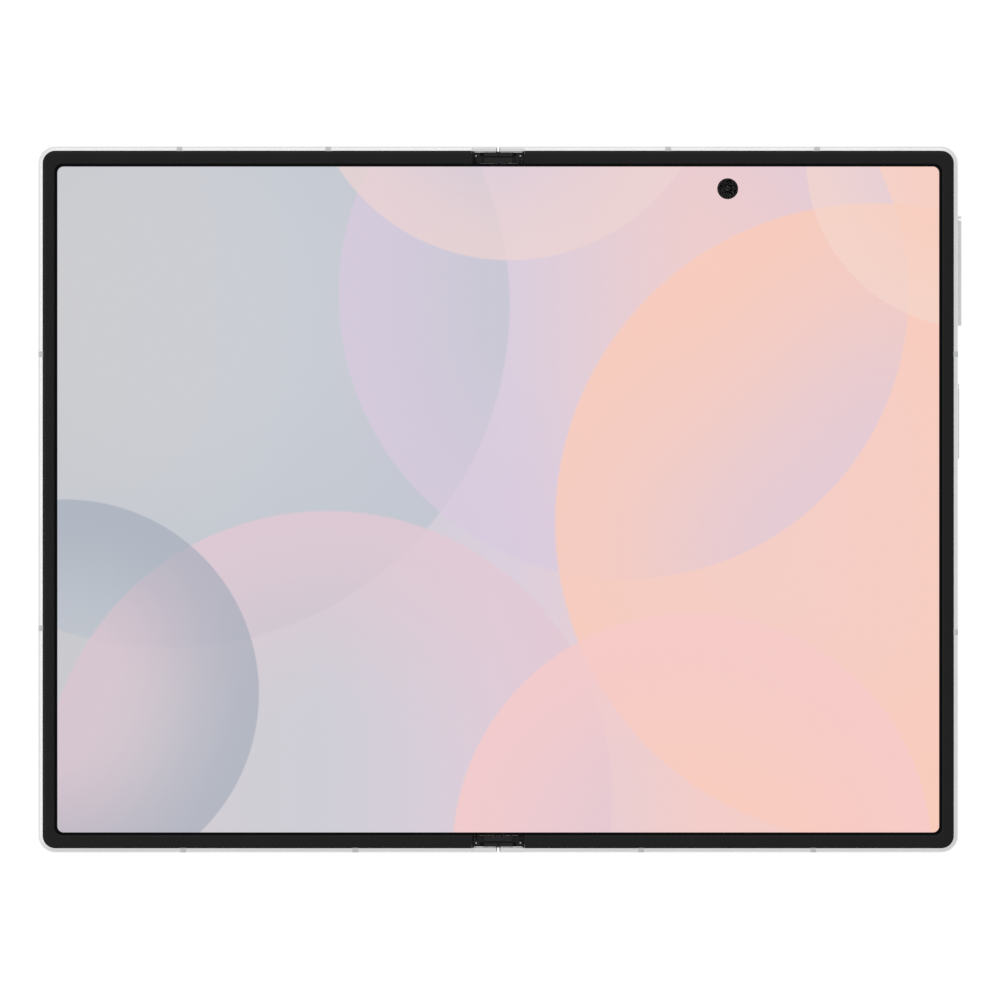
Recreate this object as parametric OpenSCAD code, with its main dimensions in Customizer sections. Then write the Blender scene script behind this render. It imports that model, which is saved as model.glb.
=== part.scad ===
// Book-style foldable phone, shown unfolded and lying on its back.
// X runs across both halves from the hinge centre line, Y runs up the screen,
// and Z points out of the inner screen. Z = 0 is the surface that it lies on.

/* [Body] */
// Width of one half, from the hinge centre line to the outer edge
half_w = 80.7; // [80:0.1:88]
// Height of the body along the hinge
body_h = 123.9; // [122:0.1:134]
// Thickness of the unfolded body, without the rear cameras
body_t = 4.9; // [4.9:0.05:5.6]
// Plan radius of the four outer corners
corner_r = 2.95; // [2.8:0.05:5]
// Rounding of the outer frame edges
edge_r = 0.7; // [0.3:0.05:0.75]
// Width of the metal rim seen beside the bumper
rim_w = 0.82; // [0.8:0.01:1]
// Step from the bumper top down to the metal rim
rim_step = 0.15; // [0.1:0.05:0.3]
// Full thickness of the frame wall
wall_w = 2.6; // [2.5:0.05:2.7]

/* [Layers] */
// Thickness of the rear and cover glass
glass_t = 0.5; // [0.4:0.05:0.55]
// Gap between the glass edge and the frame lip
glass_gap = 0.05; // [0.03:0.01:0.1]
// Width of the frame lip round the back glass
back_lip_w = 0.9; // [0.8:0.05:1.1]
// Thickness of the frame's middle plate
mid_t = 0.4; // [0.3:0.05:0.45]
// Thickness of the steel plate under the screen
plate_t = 0.3; // [0.2:0.05:0.35]
// Thickness of the folding screen
screen_t = 0.65; // [0.5:0.05:0.7]
// Thickness of the bumper lip over the screen edge
lip_t = 0.25; // [0.2:0.05:0.4]

/* [Bumper] */
// Width of the bumper along the outer edge
bumper_side_w = 1.96; // [1.8:0.02:2.4]
// Width of the bumper along the top and bottom
bumper_end_w = 2.2; // [2:0.02:2.6]
// Width of the bumper foot that stands on the frame
bumper_foot_w = 0.62; // [0.5:0.02:0.8]
// Plan radius of the bumper's inner corners
bumper_inner_r = 1.4; // [1:0.05:2]
// Distance from the hinge centre line to the bumper ends
bumper_end_x = 4.6; // [4.6:0.05:5]

/* [Hinge] */
// Gap between the two bumpers when folded shut
fold_gap = 0.1; // [0.1:0.02:0.3]
// Depth of the fold axes below the bumper top
axis_drop = 1.27; // [1.27:0.01:1.32]
// Thickness of the rails that cover the hinge at the back
rail_t = 0.55; // [0.4:0.05:0.6]
// Gap between the hinge cover and the parts that swing round it
cover_gap = 0.25; // [0.2:0.01:0.3]
// Wall of the hinge cover
cover_t = 0.4; // [0.35:0.01:0.45]
// Radial width of the curved hinge arms
ring_w = 0.68; // [0.6:0.01:0.75]
// Running clearance of the hinge arms and gears
run_gap = 0.05; // [0.03:0.01:0.06]
// Width of each curved hinge arm along the hinge
ring_len = 3.9; // [3:0.1:5]
// Thickness of the hinge bulkheads
bulkhead_t = 1.1; // [1:0.1:2]
// Distance from the end of the body to the inner side of each hinge module
module_edge = 25.95; // [24.95:0.5:32]
// Centre distance of the timing gears
gear_pitch = 1.4; // [1.36:0.01:1.42]
// Length of each timing gear
gear_len = 2.9; // [2:0.1:3.5]
// Radius of the gear pins
pin_r = 0.25; // [0.2:0.01:0.3]
// Half width of the fixed plate under the fold
centre_plate_w = 1.7; // [1.5:0.05:1.75]
// Distance from the centre line to each wing plate's pivot
wing_pivot_x = 9; // [8.8:0.1:9.2]
// Radius of the wing plate pivots
wing_pin_r = 0.42; // [0.35:0.01:0.45]
// Half width of the screen zone that bends
fold_zone_w = 10; // [10:0.1:10.5]

/* [Keys and ports] */
// Distance from the top of the body to the middle of the volume key
volume_top = 21.85; // [20:0.05:24]
// Length of the volume key
volume_l = 19.3; // [16:0.1:20]
// How far the volume key stands out
volume_proud = 0.6; // [0.3:0.05:0.8]
// Distance between the middles of the two keys
key_pitch = 26.4; // [25:0.1:28]
// Length of the power key
power_l = 13.2; // [10:0.1:14]
// How far the power key stands out
power_proud = 0.2; // [0.1:0.05:0.4]
// Height of both keys across the edge
key_h = 1.8; // [1.4:0.05:2]
// Side clearance of the keys in their slots
key_gap = 0.08; // [0.05:0.01:0.12]
// Travel of the keys
key_travel = 0.2; // [0.15:0.01:0.25]
// Distance from the outer edge to the middle of the charging port
usb_edge = 40.4; // [38:0.1:43]
// Width of the port opening
usb_w = 8.34; // [8.3:0.01:8.4]
// Height of the port opening
usb_h = 2.56; // [2.5:0.01:2.6]
// Wall of the port shell
usb_wall = 0.25; // [0.2:0.01:0.28]
// Depth of the port shell
usb_l = 7.3; // [7:0.1:8.5]
// Distance from the outer edge of the left half to the middle of the card tray
tray_edge = 35.7; // [31:0.1:41]
// Length of the card tray face
tray_l = 15.4; // [14.5:0.1:17]
// Height of the card tray face
tray_h = 1.6; // [1.5:0.05:2]
// Depth of the card tray
tray_depth = 17; // [15:0.5:20]
// Radius of the loudspeaker holes
speaker_hole_r = 0.45; // [0.3:0.05:0.6]
// Number of loudspeaker holes
speaker_holes = 6; // [3:1:7]
// Radius of the microphone holes
mic_hole_r = 0.35; // [0.25:0.05:0.5]
// Width of the plastic antenna breaks
break_w = 1; // [0.6:0.1:1.4]

/* [Cameras] */
// Distance from the outer edge to the middle of the camera island
island_edge = 16.7; // [14.7:0.1:18.7]
// Distance from the top of the body to the middle of the camera island
island_top = 23.95; // [22.95:0.05:28]
// Width of the camera island
island_w = 17; // [16:0.5:19]
// Length of the camera island
island_l = 37; // [35:0.5:40]
// Height of the camera island above the rear glass
island_h = 1; // [0.6:0.1:1.4]
// Height of the lens rings above the island
lens_ring_h = 0.6; // [0.4:0.1:0.8]
// Outer radius of the lens rings
lens_ring_r = 6.4; // [5.8:0.1:7]
// Width of the lens rings
lens_ring_w = 1.1; // [0.8:0.1:1.4]
// Distance between the two rear lenses
lens_pitch = 15; // [14.5:0.1:16]
// Distance from the outer edge to the inner camera
inner_camera_edge = 40.4; // [38:0.1:43]
// Distance from the top of the body to the inner camera
inner_camera_top = 7.4; // [7:0.05:9]
// Radius of the inner camera's hole in the screen
inner_camera_r = 1.8; // [1.6:0.1:2.2]
// Distance from the outer edge of the left half to the cover camera
cover_camera_edge = 38.7; // [35:0.1:43]
// Distance from the top of the body to the cover camera
cover_camera_top = 8.95; // [8:0.05:11]
// Radius of the cover camera's lens
cover_camera_r = 1.9; // [1.6:0.1:2.2]

/* [Inside] */
// Gap between the right battery and the feet of the hinge arms
right_battery_gap = 3.2; // [1:0.1:5]
// Space between the right battery and the outer edge
right_battery_edge = 21.7; // [21:0.1:26]
// Space below the right battery, for the port and the loudspeaker
right_battery_below = 13.95; // [13.95:0.05:20]
// Gap between the left battery and the feet of the hinge arms
left_battery_gap = 1.3; // [1:0.1:4]
// Space between the left battery and the frame wall, for the magnets
magnet_space = 4; // [3.5:0.1:6]
// Space below the left battery, for the card reader
left_battery_below = 23.95; // [22:0.05:28]
// Length of the main circuit board
main_board_l = 31.35; // [28:0.05:32]
// Length of the left circuit board
left_board_l = 14.6; // [12:0.1:16]
// Gap between each battery and the board above it
battery_board_gap = 1.5; // [1:0.1:3]
// Thickness of the circuit boards
board_t = 0.6; // [0.5:0.05:0.8]
// Margin between the charging coil and the sides of the right battery
coil_margin = 0.5; // [0:0.1:4]
// Length of the case magnets along the edge
magnet_l = 22; // [16:1:24]
// Distance from the magnets to the ends of the frame's cavity
magnet_end = 6.35; // [4:0.05:8]
// Width of the vibration motor
motor_w = 10; // [8:0.5:11]
// Length of the vibration motor
motor_l = 13; // [10:0.5:14]

/* [Hidden] */
$fn = 48;
// Overlap of pieces that join, and overshoot of cuts
eps = 0.01;
through = 1;
arc_steps = 5;

// Colours as the photograph shows them
silver = [0.84, 0.84, 0.84];
charcoal = [0.13, 0.13, 0.14];
ink = [0.05, 0.05, 0.06];
steel = [0.62, 0.62, 0.64];
screen_pink = [0.9, 0.8, 0.82];
copper = [0.78, 0.48, 0.3];
board_green = [0.12, 0.3, 0.2];
break_grey = [0.7, 0.7, 0.71];
battery_grey = [0.25, 0.25, 0.27];
window_white = [0.95, 0.93, 0.85];

// Heights of the layers
back_z = island_h + lens_ring_h;
cavity_z = back_z + glass_t;
top_z = back_z + body_t;
rim_z = top_z - rim_step;
screen_z = top_z - lip_t;
display_z = screen_z - screen_t;
plate_z = display_z - plate_t;
mid_z = plate_z - mid_t;
half_h = body_h / 2;
// Clearance between the inner parts and the mid plate, and between them and the glass
mid_gap = 0.1;
glass_clear = 0.3;

// Hinge: two parallel axes just under the screen
axis_z = top_z - axis_drop;
axis_x = axis_drop + fold_gap / 2;
rail_top = back_z + rail_t;
cover_r = axis_z - rail_top - cover_gap;
cover_in_r = cover_r - cover_t;
cover_lip_drop = 0.73;
cover_lip_z = axis_z - cover_lip_drop;
ring_out_r = cover_in_r - run_gap;
ring_in_r = ring_out_r - ring_w;
boss_r = ring_in_r - run_gap;
arm_drop = 0.03;
arm_top = axis_z - arm_drop;
arm_t = 0.6;
spine_floor = axis_z - cover_in_r;
spine_drop = 0.33;
spine_top = axis_z - spine_drop;
rail_gap = fold_gap / 2;
end_wall_w = 0.8;
spine_end_gap = 0.15;
spine_h = half_h - end_wall_w - spine_end_gap;
inner_wall_w = 0.8;
inner_wall_drop = 0.9;
inner_wall_top = axis_z - inner_wall_drop;
module_y = half_h - module_edge;

// Places along each hinge module, counted from its inner face
slot_len = ring_len + 2 * run_gap;
slot_1 = bulkhead_t;
slot_2 = slot_1 + slot_len + bulkhead_t;
arm_slot = slot_2 + slot_len + bulkhead_t;
gear_slot = arm_slot + gear_len + 2 * run_gap;
gear_end = gear_slot + gear_len + 2 * run_gap;
module_len = gear_end + bulkhead_t;

// Timing gears
gear_teeth = 10;
gear_drop = 1.23;
gear_z = axis_z - gear_drop;
gear_inner_x = gear_pitch / 2;
gear_outer_x = gear_inner_x + gear_pitch;
gear_tip_r = gear_pitch * 0.59;
gear_root_r = gear_pitch * 0.385;
gear_bore_gap = 0.04;
sync_arm_drop = 0.68;
sync_arm_bottom = axis_z - sync_arm_drop;
sync_arm_t = 0.3;
sync_arm_hub = 0.3;
sync_reach = 10.4;

// Frame interior
cavity_x = half_w - wall_w;
cavity_y = half_h - wall_w;
bumper_x = half_w - rim_w;
bumper_y = half_h - rim_w;
screen_x = bumper_x - bumper_foot_w;
screen_y = bumper_y - bumper_foot_w;
fold_screen_y = half_h - rim_w - bumper_end_w;

// Wing plates
wing_pivot_z = plate_z - wing_pin_r * 0.8;
wing_gap = 0.1;
wing_edge_x = centre_plate_w + wing_gap;
wing_end_gap = 1.6;
wing_y = cavity_y - wing_end_gap;
wing_block_w = 2;
wing_block_wall = 0.5;
wing_pin_l = 1.3;
wing_overhang = 0.3;
wing_slot_gap = 0.2;

// Keys, ports and cameras
volume_y = half_h - volume_top;
power_y = volume_y - key_pitch;
key_lift = 0.1;
key_z = (cavity_z + mid_z) / 2 + key_lift;
key_flange = 0.6;
usb_x = half_w - usb_edge;
usb_lift = 0.1;
usb_z = cavity_z + usb_lift + usb_h / 2 + usb_wall;
usb_side = 1;
tray_x = half_w - tray_edge;
tray_lift = 1.35;
tray_z = cavity_z + tray_lift;
speaker_edge = 20;
speaker_x = half_w - speaker_edge;
hole_step = 1.6;
mic_usb_gap = 13.3;
mic_pitch = 3;
mic_x = usb_x - mic_usb_gap;
island_x = half_w - island_edge;
island_y = half_h - island_top;
lens_y = [island_y + lens_pitch / 2, island_y - lens_pitch / 2];
inner_camera_x = half_w - inner_camera_edge;
inner_camera_y = half_h - inner_camera_top;
camera_tunnel_gap = 0.9;
camera_tunnel_r = inner_camera_r + camera_tunnel_gap;
cover_camera_x = half_w - cover_camera_edge;
cover_camera_y = half_h - cover_camera_top;

// Rounded outline of the frame's outer face, as [distance in from the face, height]
function arc_points(u, z, r, from, to) =
    [for (i = [0:arc_steps]) let (a = from + (to - from) * i / arc_steps) [u + r * cos(a), z + r * sin(a)]];

// A box given by its limits along each axis
module slab(x, y, z)
    translate([x[0], y[0], z[0]])
        cube([x[1] - x[0], y[1] - y[0], z[1] - z[0]]);

// A quarter of a disc in the given quarter turn
module quarter(r, h, turn)
    rotate([0, 0, turn])
        rotate_extrude(angle = 90)
            square([r, h]);

// A box with its two outer corners rounded in plan
module outer_slab(x, y, z, r) {
    slab([x[0], x[1] - r], y, z);
    slab([x[1] - r, x[1]], [y[0] + r, y[1] - r], z);
    translate([x[1] - r, y[1] - r, z[0]])
        quarter(r, z[1] - z[0], 0);
    translate([x[1] - r, y[0] + r, z[0]])
        quarter(r, z[1] - z[0], 270);
}

// A box with all four corners rounded in plan
module round_slab(x, y, z, r) {
    outer_slab([x[0] + r, x[1]], y, z, r);
    slab([x[0], x[0] + r], [y[0] + r, y[1] - r], z);
    translate([x[0] + r, y[1] - r, z[0]])
        quarter(r, z[1] - z[0], 90);
    translate([x[0] + r, y[0] + r, z[0]])
        quarter(r, z[1] - z[0], 180);
}

// An upright disc or post
module disc(x, y, z, r)
    translate([x, y, z[0]])
        cylinder(r = r, h = z[1] - z[0]);

// A rod along Y
module rod_y(x, y, z, r)
    translate([x, y[1], z])
        rotate([90, 0, 0])
            cylinder(r = r, h = y[1] - y[0]);

// Points [x, z] extruded along Y
module extrude_y(points, y)
    translate([0, y[1], 0])
        rotate([90, 0, 0])
            linear_extrude(y[1] - y[0])
                polygon(points);

// A bar with two round edges, lying along Y
module pill_y(x, z, y, w, h)
    translate([x, y[1], z])
        rotate([90, 0, 0]) {
            translate([h / 2 - w / 2, -h / 2, 0])
                cube([w - h, h, y[1] - y[0]]);
            for (side = [0, 180])
                rotate([0, 0, side])
                    translate([w / 2 - h / 2, 0, 0])
                        rotate([0, 0, -90])
                            rotate_extrude(angle = 180)
                                square([h / 2, y[1] - y[0]]);
        }

// A bar with two round ends, lying along X, its length along Y
module pill_x(x, y, z, l, h)
    translate([x[0], y, z])
        rotate([90, 0, 90]) {
            translate([h / 2 - l / 2, -h / 2, 0])
                cube([l - h, h, x[1] - x[0]]);
            for (side = [0, 180])
                rotate([0, 0, side])
                    translate([l / 2 - h / 2, 0, 0])
                        rotate([0, 0, -90])
                            rotate_extrude(angle = 180)
                                square([h / 2, x[1] - x[0]]);
        }

// Everything on the left is the mirror image of the right
module on_left()
    mirror([1, 0, 0])
        children();

// The same part at the top and at the bottom
module top_and_bottom() {
    children();
    mirror([0, 1, 0])
        children();
}

// Section through the frame wall, as [distance in from the outer face, height]
rim_chamfer = 0.1;
wall_section = concat(
    arc_points(edge_r, back_z + edge_r, edge_r, 180, 270),
    [
        [back_lip_w, back_z],
        [back_lip_w, cavity_z],
        [wall_w, cavity_z],
        [wall_w, display_z],
        [rim_w, display_z],
        [rim_w, rim_z - rim_chamfer],
        [rim_w - rim_chamfer, rim_z]
    ],
    [for (p = arc_points(edge_r, rim_z - edge_r, edge_r, 90, 180)) if (p[0] < rim_w - rim_chamfer - eps) p]
);

// The wall along the outer edge, between two places along Y
module side_wall(y)
    translate([half_w, y[1], 0])
        rotate([90, 0, 0])
            linear_extrude(y[1] - y[0])
                mirror([1, 0])
                    polygon(wall_section);

// The wall along the top edge, between two places along X
module end_wall(x)
    translate([x[0], half_h, 0])
        rotate([90, 0, 90])
            linear_extrude(x[1] - x[0])
                mirror([1, 0])
                    polygon(wall_section);

module corner_wall()
    translate([half_w - corner_r, half_h - corner_r, 0])
        rotate_extrude(angle = 90)
            translate([corner_r, 0])
                mirror([1, 0])
                    polygon(wall_section);

// The low end of the frame beside the hinge, rounded about the fold axis
hinge_end_rise = 0.57;
hinge_end_r = 1.12;
hinge_end_top = axis_z + hinge_end_rise;
hinge_end_gap = axis_x - hinge_end_r;
hinge_end_chamfer = 0.35;
hinge_end_bevel = edge_r * 0.7;
hinge_end_outline = concat(
    arc_points(axis_x, axis_z, hinge_end_r, 180, 180 - asin(hinge_end_rise / hinge_end_r)),
    [
        [bumper_end_x, hinge_end_top],
        [bumper_end_x, back_z],
        [hinge_end_gap + hinge_end_chamfer, back_z],
        [hinge_end_gap, back_z + hinge_end_chamfer]
    ]
);
module hinge_end()
    difference() {
        extrude_y(hinge_end_outline, [half_h - end_wall_w, half_h]);
        for (z = [back_z, hinge_end_top])
            translate([0, half_h, z])
                rotate([45, 0, 0])
                    cube([3 * bumper_end_x, hinge_end_bevel, hinge_end_bevel], center = true);
    }

// Antenna breaks: the top and bottom edges have two on each half, and so has the outer edge
top_break_in = 50.85;
top_break_out = 24.75;
bottom_break_in = 55.6;
bottom_break_out = 25.4;
side_break_top = 36.45;
right_break_low = 38.65;
left_break_low = 39.35;
breaks_top = [half_w - top_break_in, half_w - top_break_out];
breaks_bottom = [half_w - bottom_break_in, half_w - bottom_break_out];

module breaks(side_break_low) {
    for (x = breaks_top)
        end_wall([x - break_w / 2, x + break_w / 2]);
    for (x = breaks_bottom)
        mirror([0, 1, 0])
            end_wall([x - break_w / 2, x + break_w / 2]);
    for (y = [half_h - side_break_top, side_break_low - half_h])
        side_wall([y - break_w / 2, y + break_w / 2]);
}

module break_cuts(side_break_low) {
    for (x = breaks_top)
        slab([x - break_w / 2, x + break_w / 2], [cavity_y, half_h + through], [back_z - through, top_z]);
    for (x = breaks_bottom)
        slab([x - break_w / 2, x + break_w / 2], [-half_h - through, -cavity_y], [back_z - through, top_z]);
    for (y = [half_h - side_break_top, side_break_low - half_h])
        slab([cavity_x, half_w + through], [y - break_w / 2, y + break_w / 2], [back_z - through, top_z]);
}

// Walls, mid plate and hinge-side wall of one half, with the blocks that carry the wing plate's pivots
module frame_body() {
    side_wall([corner_r - half_h, half_h - corner_r]);
    top_and_bottom() {
        end_wall([bumper_end_x, half_w - corner_r]);
        corner_wall();
        hinge_end();
        slab([wing_pivot_x - wing_block_w / 2, wing_pivot_x + wing_block_w / 2], [wing_y + run_gap, cavity_y],
            [wing_pivot_z - wing_pin_r - wing_block_wall, display_z]);
    }
    slab([fold_zone_w, cavity_x], [-cavity_y, cavity_y], [mid_z, plate_z]);
    slab([bumper_end_x, bumper_end_x + inner_wall_w], [-cavity_y, cavity_y], [back_z, inner_wall_top]);
    slab([rail_gap, bumper_end_x], [end_wall_w - half_h, half_h - end_wall_w], [back_z, rail_top]);
}

// Both modules of the hinge, each drawn from its inner face outwards
module hinge_modules()
    top_and_bottom()
        translate([0, module_y, 0])
            children();

// The foot of each hinge arm fits under the mid plate and takes two screws
foot_gap = 0.4;
foot_x = fold_zone_w + foot_gap;
foot_w = 5.4;
foot_drop = 0.9;
screw_r = 0.5;
screw_head_r = 0.9;
screw_head_t = 0.3;
screw_x = foot_x + foot_w / 2;
screw_inset = 1;

module bracket_screw_holes(slot)
    hinge_modules()
        for (y = [slot + screw_inset, slot + slot_len - screw_inset])
            disc(screw_x, y, [mid_z - foot_drop - through, plate_z + eps], screw_r);

// Bearings of the wing plate's pivots
module pivot_holes()
    top_and_bottom()
        rod_y(wing_pivot_x, [wing_y - through, wing_y + wing_pin_l + run_gap],
            wing_pivot_z, wing_pin_r + run_gap);

// Openings in the hinge-side wall for the sync arm
sync_notch_side = 0.4;
sync_notch_drop = 0.35;
module sync_notch()
    hinge_modules()
        slab([bumper_end_x - through, bumper_end_x + inner_wall_w + through],
            [arm_slot - sync_notch_side, gear_slot + sync_notch_side],
            [inner_wall_top - sync_notch_drop, top_z]);

module left_frame()
    color(silver)
        on_left()
            difference() {
                frame_body();
                break_cuts(left_break_low);
                bracket_screw_holes(slot_1);
                sync_notch();
                pivot_holes();
                pill_y(tray_x, tray_z, [-half_h - through, through - cavity_y],
                    tray_l + 2 * key_gap, tray_h + 2 * key_gap);
                for (i = [-2:2])
                    rod_y(cover_camera_x + i * hole_step, [cavity_y - through, half_h + through],
                        key_z, mic_hole_r);
            }

module right_frame()
    color(silver)
        difference() {
            frame_body();
            break_cuts(right_break_low);
            bracket_screw_holes(slot_2);
            sync_notch();
            pivot_holes();
            key_slot(volume_y, volume_l);
            key_slot(power_y, power_l);
            pill_y(usb_x, usb_z, [-half_h - through, through - cavity_y],
                usb_w + 2 * usb_wall, usb_h + 2 * usb_wall);
            slab([usb_x - usb_w / 2 - usb_side, usb_x + usb_w / 2 + usb_side],
                [-cavity_y, usb_l - half_h + usb_side], [mid_z - through, plate_z + through]);
            for (i = [0:speaker_holes - 1])
                rod_y(speaker_x + i * hole_step, [-half_h - through, through - cavity_y],
                    key_z, speaker_hole_r);
            for (x = [mic_x, mic_x - mic_pitch])
                rod_y(x, [-half_h - through, through - cavity_y], key_z, mic_hole_r);
            disc(inner_camera_x, inner_camera_y, [mid_z - through, plate_z + through], camera_tunnel_r);
        }

module key_slot(y, l)
    pill_x([cavity_x - through, half_w + through], y, key_z, l + 2 * key_gap, key_h + 2 * key_gap);

// Foot and lip of the bumper, with its ends chamfered at the hinge
bumper_chamfer = 0.6;
module bumper()
    difference() {
        outer_slab([bumper_end_x, bumper_x], [-bumper_y, bumper_y], [display_z, top_z], corner_r - rim_w);
        outer_slab([bumper_end_x - through, screen_x], [-screen_y, screen_y],
            [display_z - through, screen_z], bumper_inner_r);
        outer_slab([bumper_end_x - through, bumper_x - bumper_side_w], [-fold_screen_y, fold_screen_y],
            [display_z - through, top_z + through], bumper_inner_r);
        top_and_bottom()
            translate([bumper_end_x, fold_screen_y, 0])
                rotate([0, 0, 45])
                    slab([-bumper_chamfer, bumper_chamfer], [-bumper_chamfer, bumper_chamfer],
                        [display_z - through, top_z + through]);
    }

module left_bumper()
    color(charcoal)
        on_left()
            bumper();

module right_bumper()
    color(charcoal)
        bumper();

// Glass set into the back of one half
module back_glass()
    outer_slab([bumper_end_x + inner_wall_w + glass_gap, half_w - back_lip_w - glass_gap],
        [back_lip_w + glass_gap - half_h, half_h - back_lip_w - glass_gap],
        [back_z, cavity_z], corner_r - back_lip_w);

module cover_glass()
    color(ink)
        on_left()
            back_glass();

module rear_glass()
    color(silver)
        difference() {
            back_glass();
            for (y = lens_y)
                disc(island_x, y, [back_z - through, cavity_z + through], lens_ring_r - lens_ring_w);
        }

// Cover screen under the glass of the left half
cover_display_t = 0.6;
cover_display_gap = 0.3;
cover_display_hinge_gap = 0.6;
cover_display_r = 1;
module cover_display()
    color(screen_pink)
        on_left()
            difference() {
                outer_slab(
                    [bumper_end_x + inner_wall_w + cover_display_hinge_gap, cavity_x - cover_display_gap],
                    [cover_display_gap - cavity_y, cavity_y - cover_display_gap],
                    [cavity_z, cavity_z + cover_display_t], cover_display_r);
                disc(cover_camera_x, cover_camera_y, [back_z, cavity_z + through],
                    cover_camera_r + cover_display_gap);
            }

cover_camera_half = 3;
cover_camera_t = 1.8;
module cover_camera()
    color(ink)
        on_left() {
            disc(cover_camera_x, cover_camera_y, [cavity_z, cavity_z + cover_display_t], cover_camera_r);
            slab([cover_camera_x - cover_camera_half, cover_camera_x + cover_camera_half],
                [cover_camera_y - cover_camera_half, cover_camera_y + cover_camera_half],
                [cavity_z + cover_display_t, cavity_z + cover_display_t + cover_camera_t]);
        }

earpiece_w = 10;
earpiece_l = 2.4;
earpiece_t = 1.6;
module earpiece()
    color(ink)
        on_left()
            slab([cover_camera_x - earpiece_w / 2, cover_camera_x + earpiece_w / 2],
                [cavity_y - earpiece_l, cavity_y], [key_z - earpiece_t / 2, key_z + earpiece_t / 2]);

// Boards: the main one lies beside the rear cameras, the left one below the cover camera
inner_camera_half = 2.6;
rear_camera_half = 6;
board_gap = 0.4;
board_end_gap = 0.2;
board_x = [foot_x + board_end_gap + foot_w, island_x - rear_camera_half - 1];
board_y_top = inner_camera_y - inner_camera_half - board_gap - board_end_gap;
board_y = [board_y_top - main_board_l, board_y_top];
left_board_top = cover_camera_y - cover_camera_half - board_gap;
left_board_y = [left_board_top - left_board_l, left_board_top];
left_board_lift = 1.5;
left_board_z = cavity_z + left_board_lift;

// Batteries: each lies between the hinge arms' feet and the outer edge, below its board
battery_r = 1;
left_inner_z = cavity_z + cover_display_t + mid_gap;
right_battery_x = [foot_x + foot_w + right_battery_gap, half_w - right_battery_edge];
right_battery_y = [right_battery_below - half_h, board_y[0] - battery_board_gap];
left_battery_x = [foot_x + foot_w + left_battery_gap, cavity_x - magnet_space];
left_battery_y = [left_battery_below - half_h, left_board_y[0] - battery_board_gap];

module left_battery()
    color(battery_grey)
        on_left()
            round_slab(left_battery_x, left_battery_y, [left_inner_z, mid_z - mid_gap], battery_r);

module right_battery()
    color(battery_grey)
        round_slab(right_battery_x, right_battery_y, [coil_z[1] + mid_gap, mid_z - mid_gap], battery_r);

module left_board()
    color(board_green)
        on_left()
            slab(left_battery_x, left_board_y, [left_board_z, left_board_z + board_t]);

// Magnets that hold the halves shut lie along the outer walls
magnet_gap = 0.2;
magnet_w = 2.4;
magnet_x = [cavity_x - magnet_gap - magnet_w, cavity_x - magnet_gap];
magnet_y = cavity_y - magnet_end - magnet_l / 2;
module magnet(y)
    slab(magnet_x, [y - magnet_l / 2, y + magnet_l / 2], [left_inner_z, mid_z]);

module left_magnets()
    color(steel)
        on_left()
            for (y = [-magnet_y, 0, magnet_y])
                magnet(y);

module right_magnets()
    color(steel)
        magnet(-magnet_y);

motor_r = 2;
motor_end = 2.35;
motor_x = [cavity_x - magnet_space - motor_w, cavity_x - magnet_space];
motor_y = [motor_end - cavity_y, motor_end + motor_l - cavity_y];
module vibration_motor()
    color(steel)
        on_left()
            round_slab(motor_x, motor_y, [left_inner_z, mid_z], motor_r);

// Screen pieces
module screen_plate()
    outer_slab([fold_zone_w, cavity_x], [-cavity_y, cavity_y], [plate_z, display_z], bumper_inner_r);

module screen_half()
    outer_slab([fold_zone_w, screen_x], [-screen_y, screen_y], [display_z, screen_z], bumper_inner_r);

module left_screen_plate()
    color(steel)
        on_left()
            screen_plate();

module right_screen_plate()
    color(steel)
        difference() {
            screen_plate();
            disc(inner_camera_x, inner_camera_y, [plate_z - through, display_z + through], camera_tunnel_r);
        }

module display_left()
    color(screen_pink)
        on_left()
            screen_half();

// The clear film on top runs on over the inner camera's hole
film_t = 0.1;
module display_right()
    color(screen_pink)
        difference() {
            screen_half();
            disc(inner_camera_x, inner_camera_y, [display_z - through, screen_z - film_t], inner_camera_r);
        }

screen_end_gap = 0.8;
module display_fold_zone()
    color(screen_pink) {
        slab([-fold_zone_w, fold_zone_w], [-fold_screen_y, fold_screen_y], [display_z, screen_z]);
        for (side = [0, 1])
            mirror([side, 0, 0])
                top_and_bottom()
                    slab([bumper_end_x + screen_end_gap, fold_zone_w], [fold_screen_y, screen_y],
                        [display_z, screen_z]);
    }

module left_antenna_breaks()
    color(break_grey)
        on_left()
            breaks(left_break_low);

module right_antenna_breaks()
    color(break_grey)
        breaks(right_break_low);

// Card tray of the left half: a solid face, a carrier with a pocket for the card, and an eject hole
tray_face_t = 2.2;
carrier_w = 12.6;
carrier_t = 1;
card_w = 8.8;
card_l = 12;
card_floor_t = 0.2;
tray_end_w = 1;
eject_hole_r = 0.4;
eject_hole_inset = 1.6;
eject_hole_depth = 1.4;
module card_tray()
    color(silver)
        on_left()
            difference() {
                union() {
                    pill_y(tray_x, tray_z, [-half_h, tray_face_t - half_h], tray_l, tray_h);
                    slab([tray_x - carrier_w / 2, tray_x + carrier_w / 2],
                        [tray_face_t - half_h, tray_depth - half_h],
                        [tray_z - carrier_t / 2, tray_z + carrier_t / 2]);
                }
                slab([tray_x - card_w / 2, tray_x + card_w / 2],
                    [tray_depth - tray_end_w - card_l - half_h, tray_depth - tray_end_w - half_h],
                    [tray_z - carrier_t / 2 + card_floor_t, tray_z + through]);
                rod_y(tray_x + tray_l / 2 - eject_hole_inset, [-half_h - through, eject_hole_depth - half_h],
                    tray_z, eject_hole_r);
            }

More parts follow.
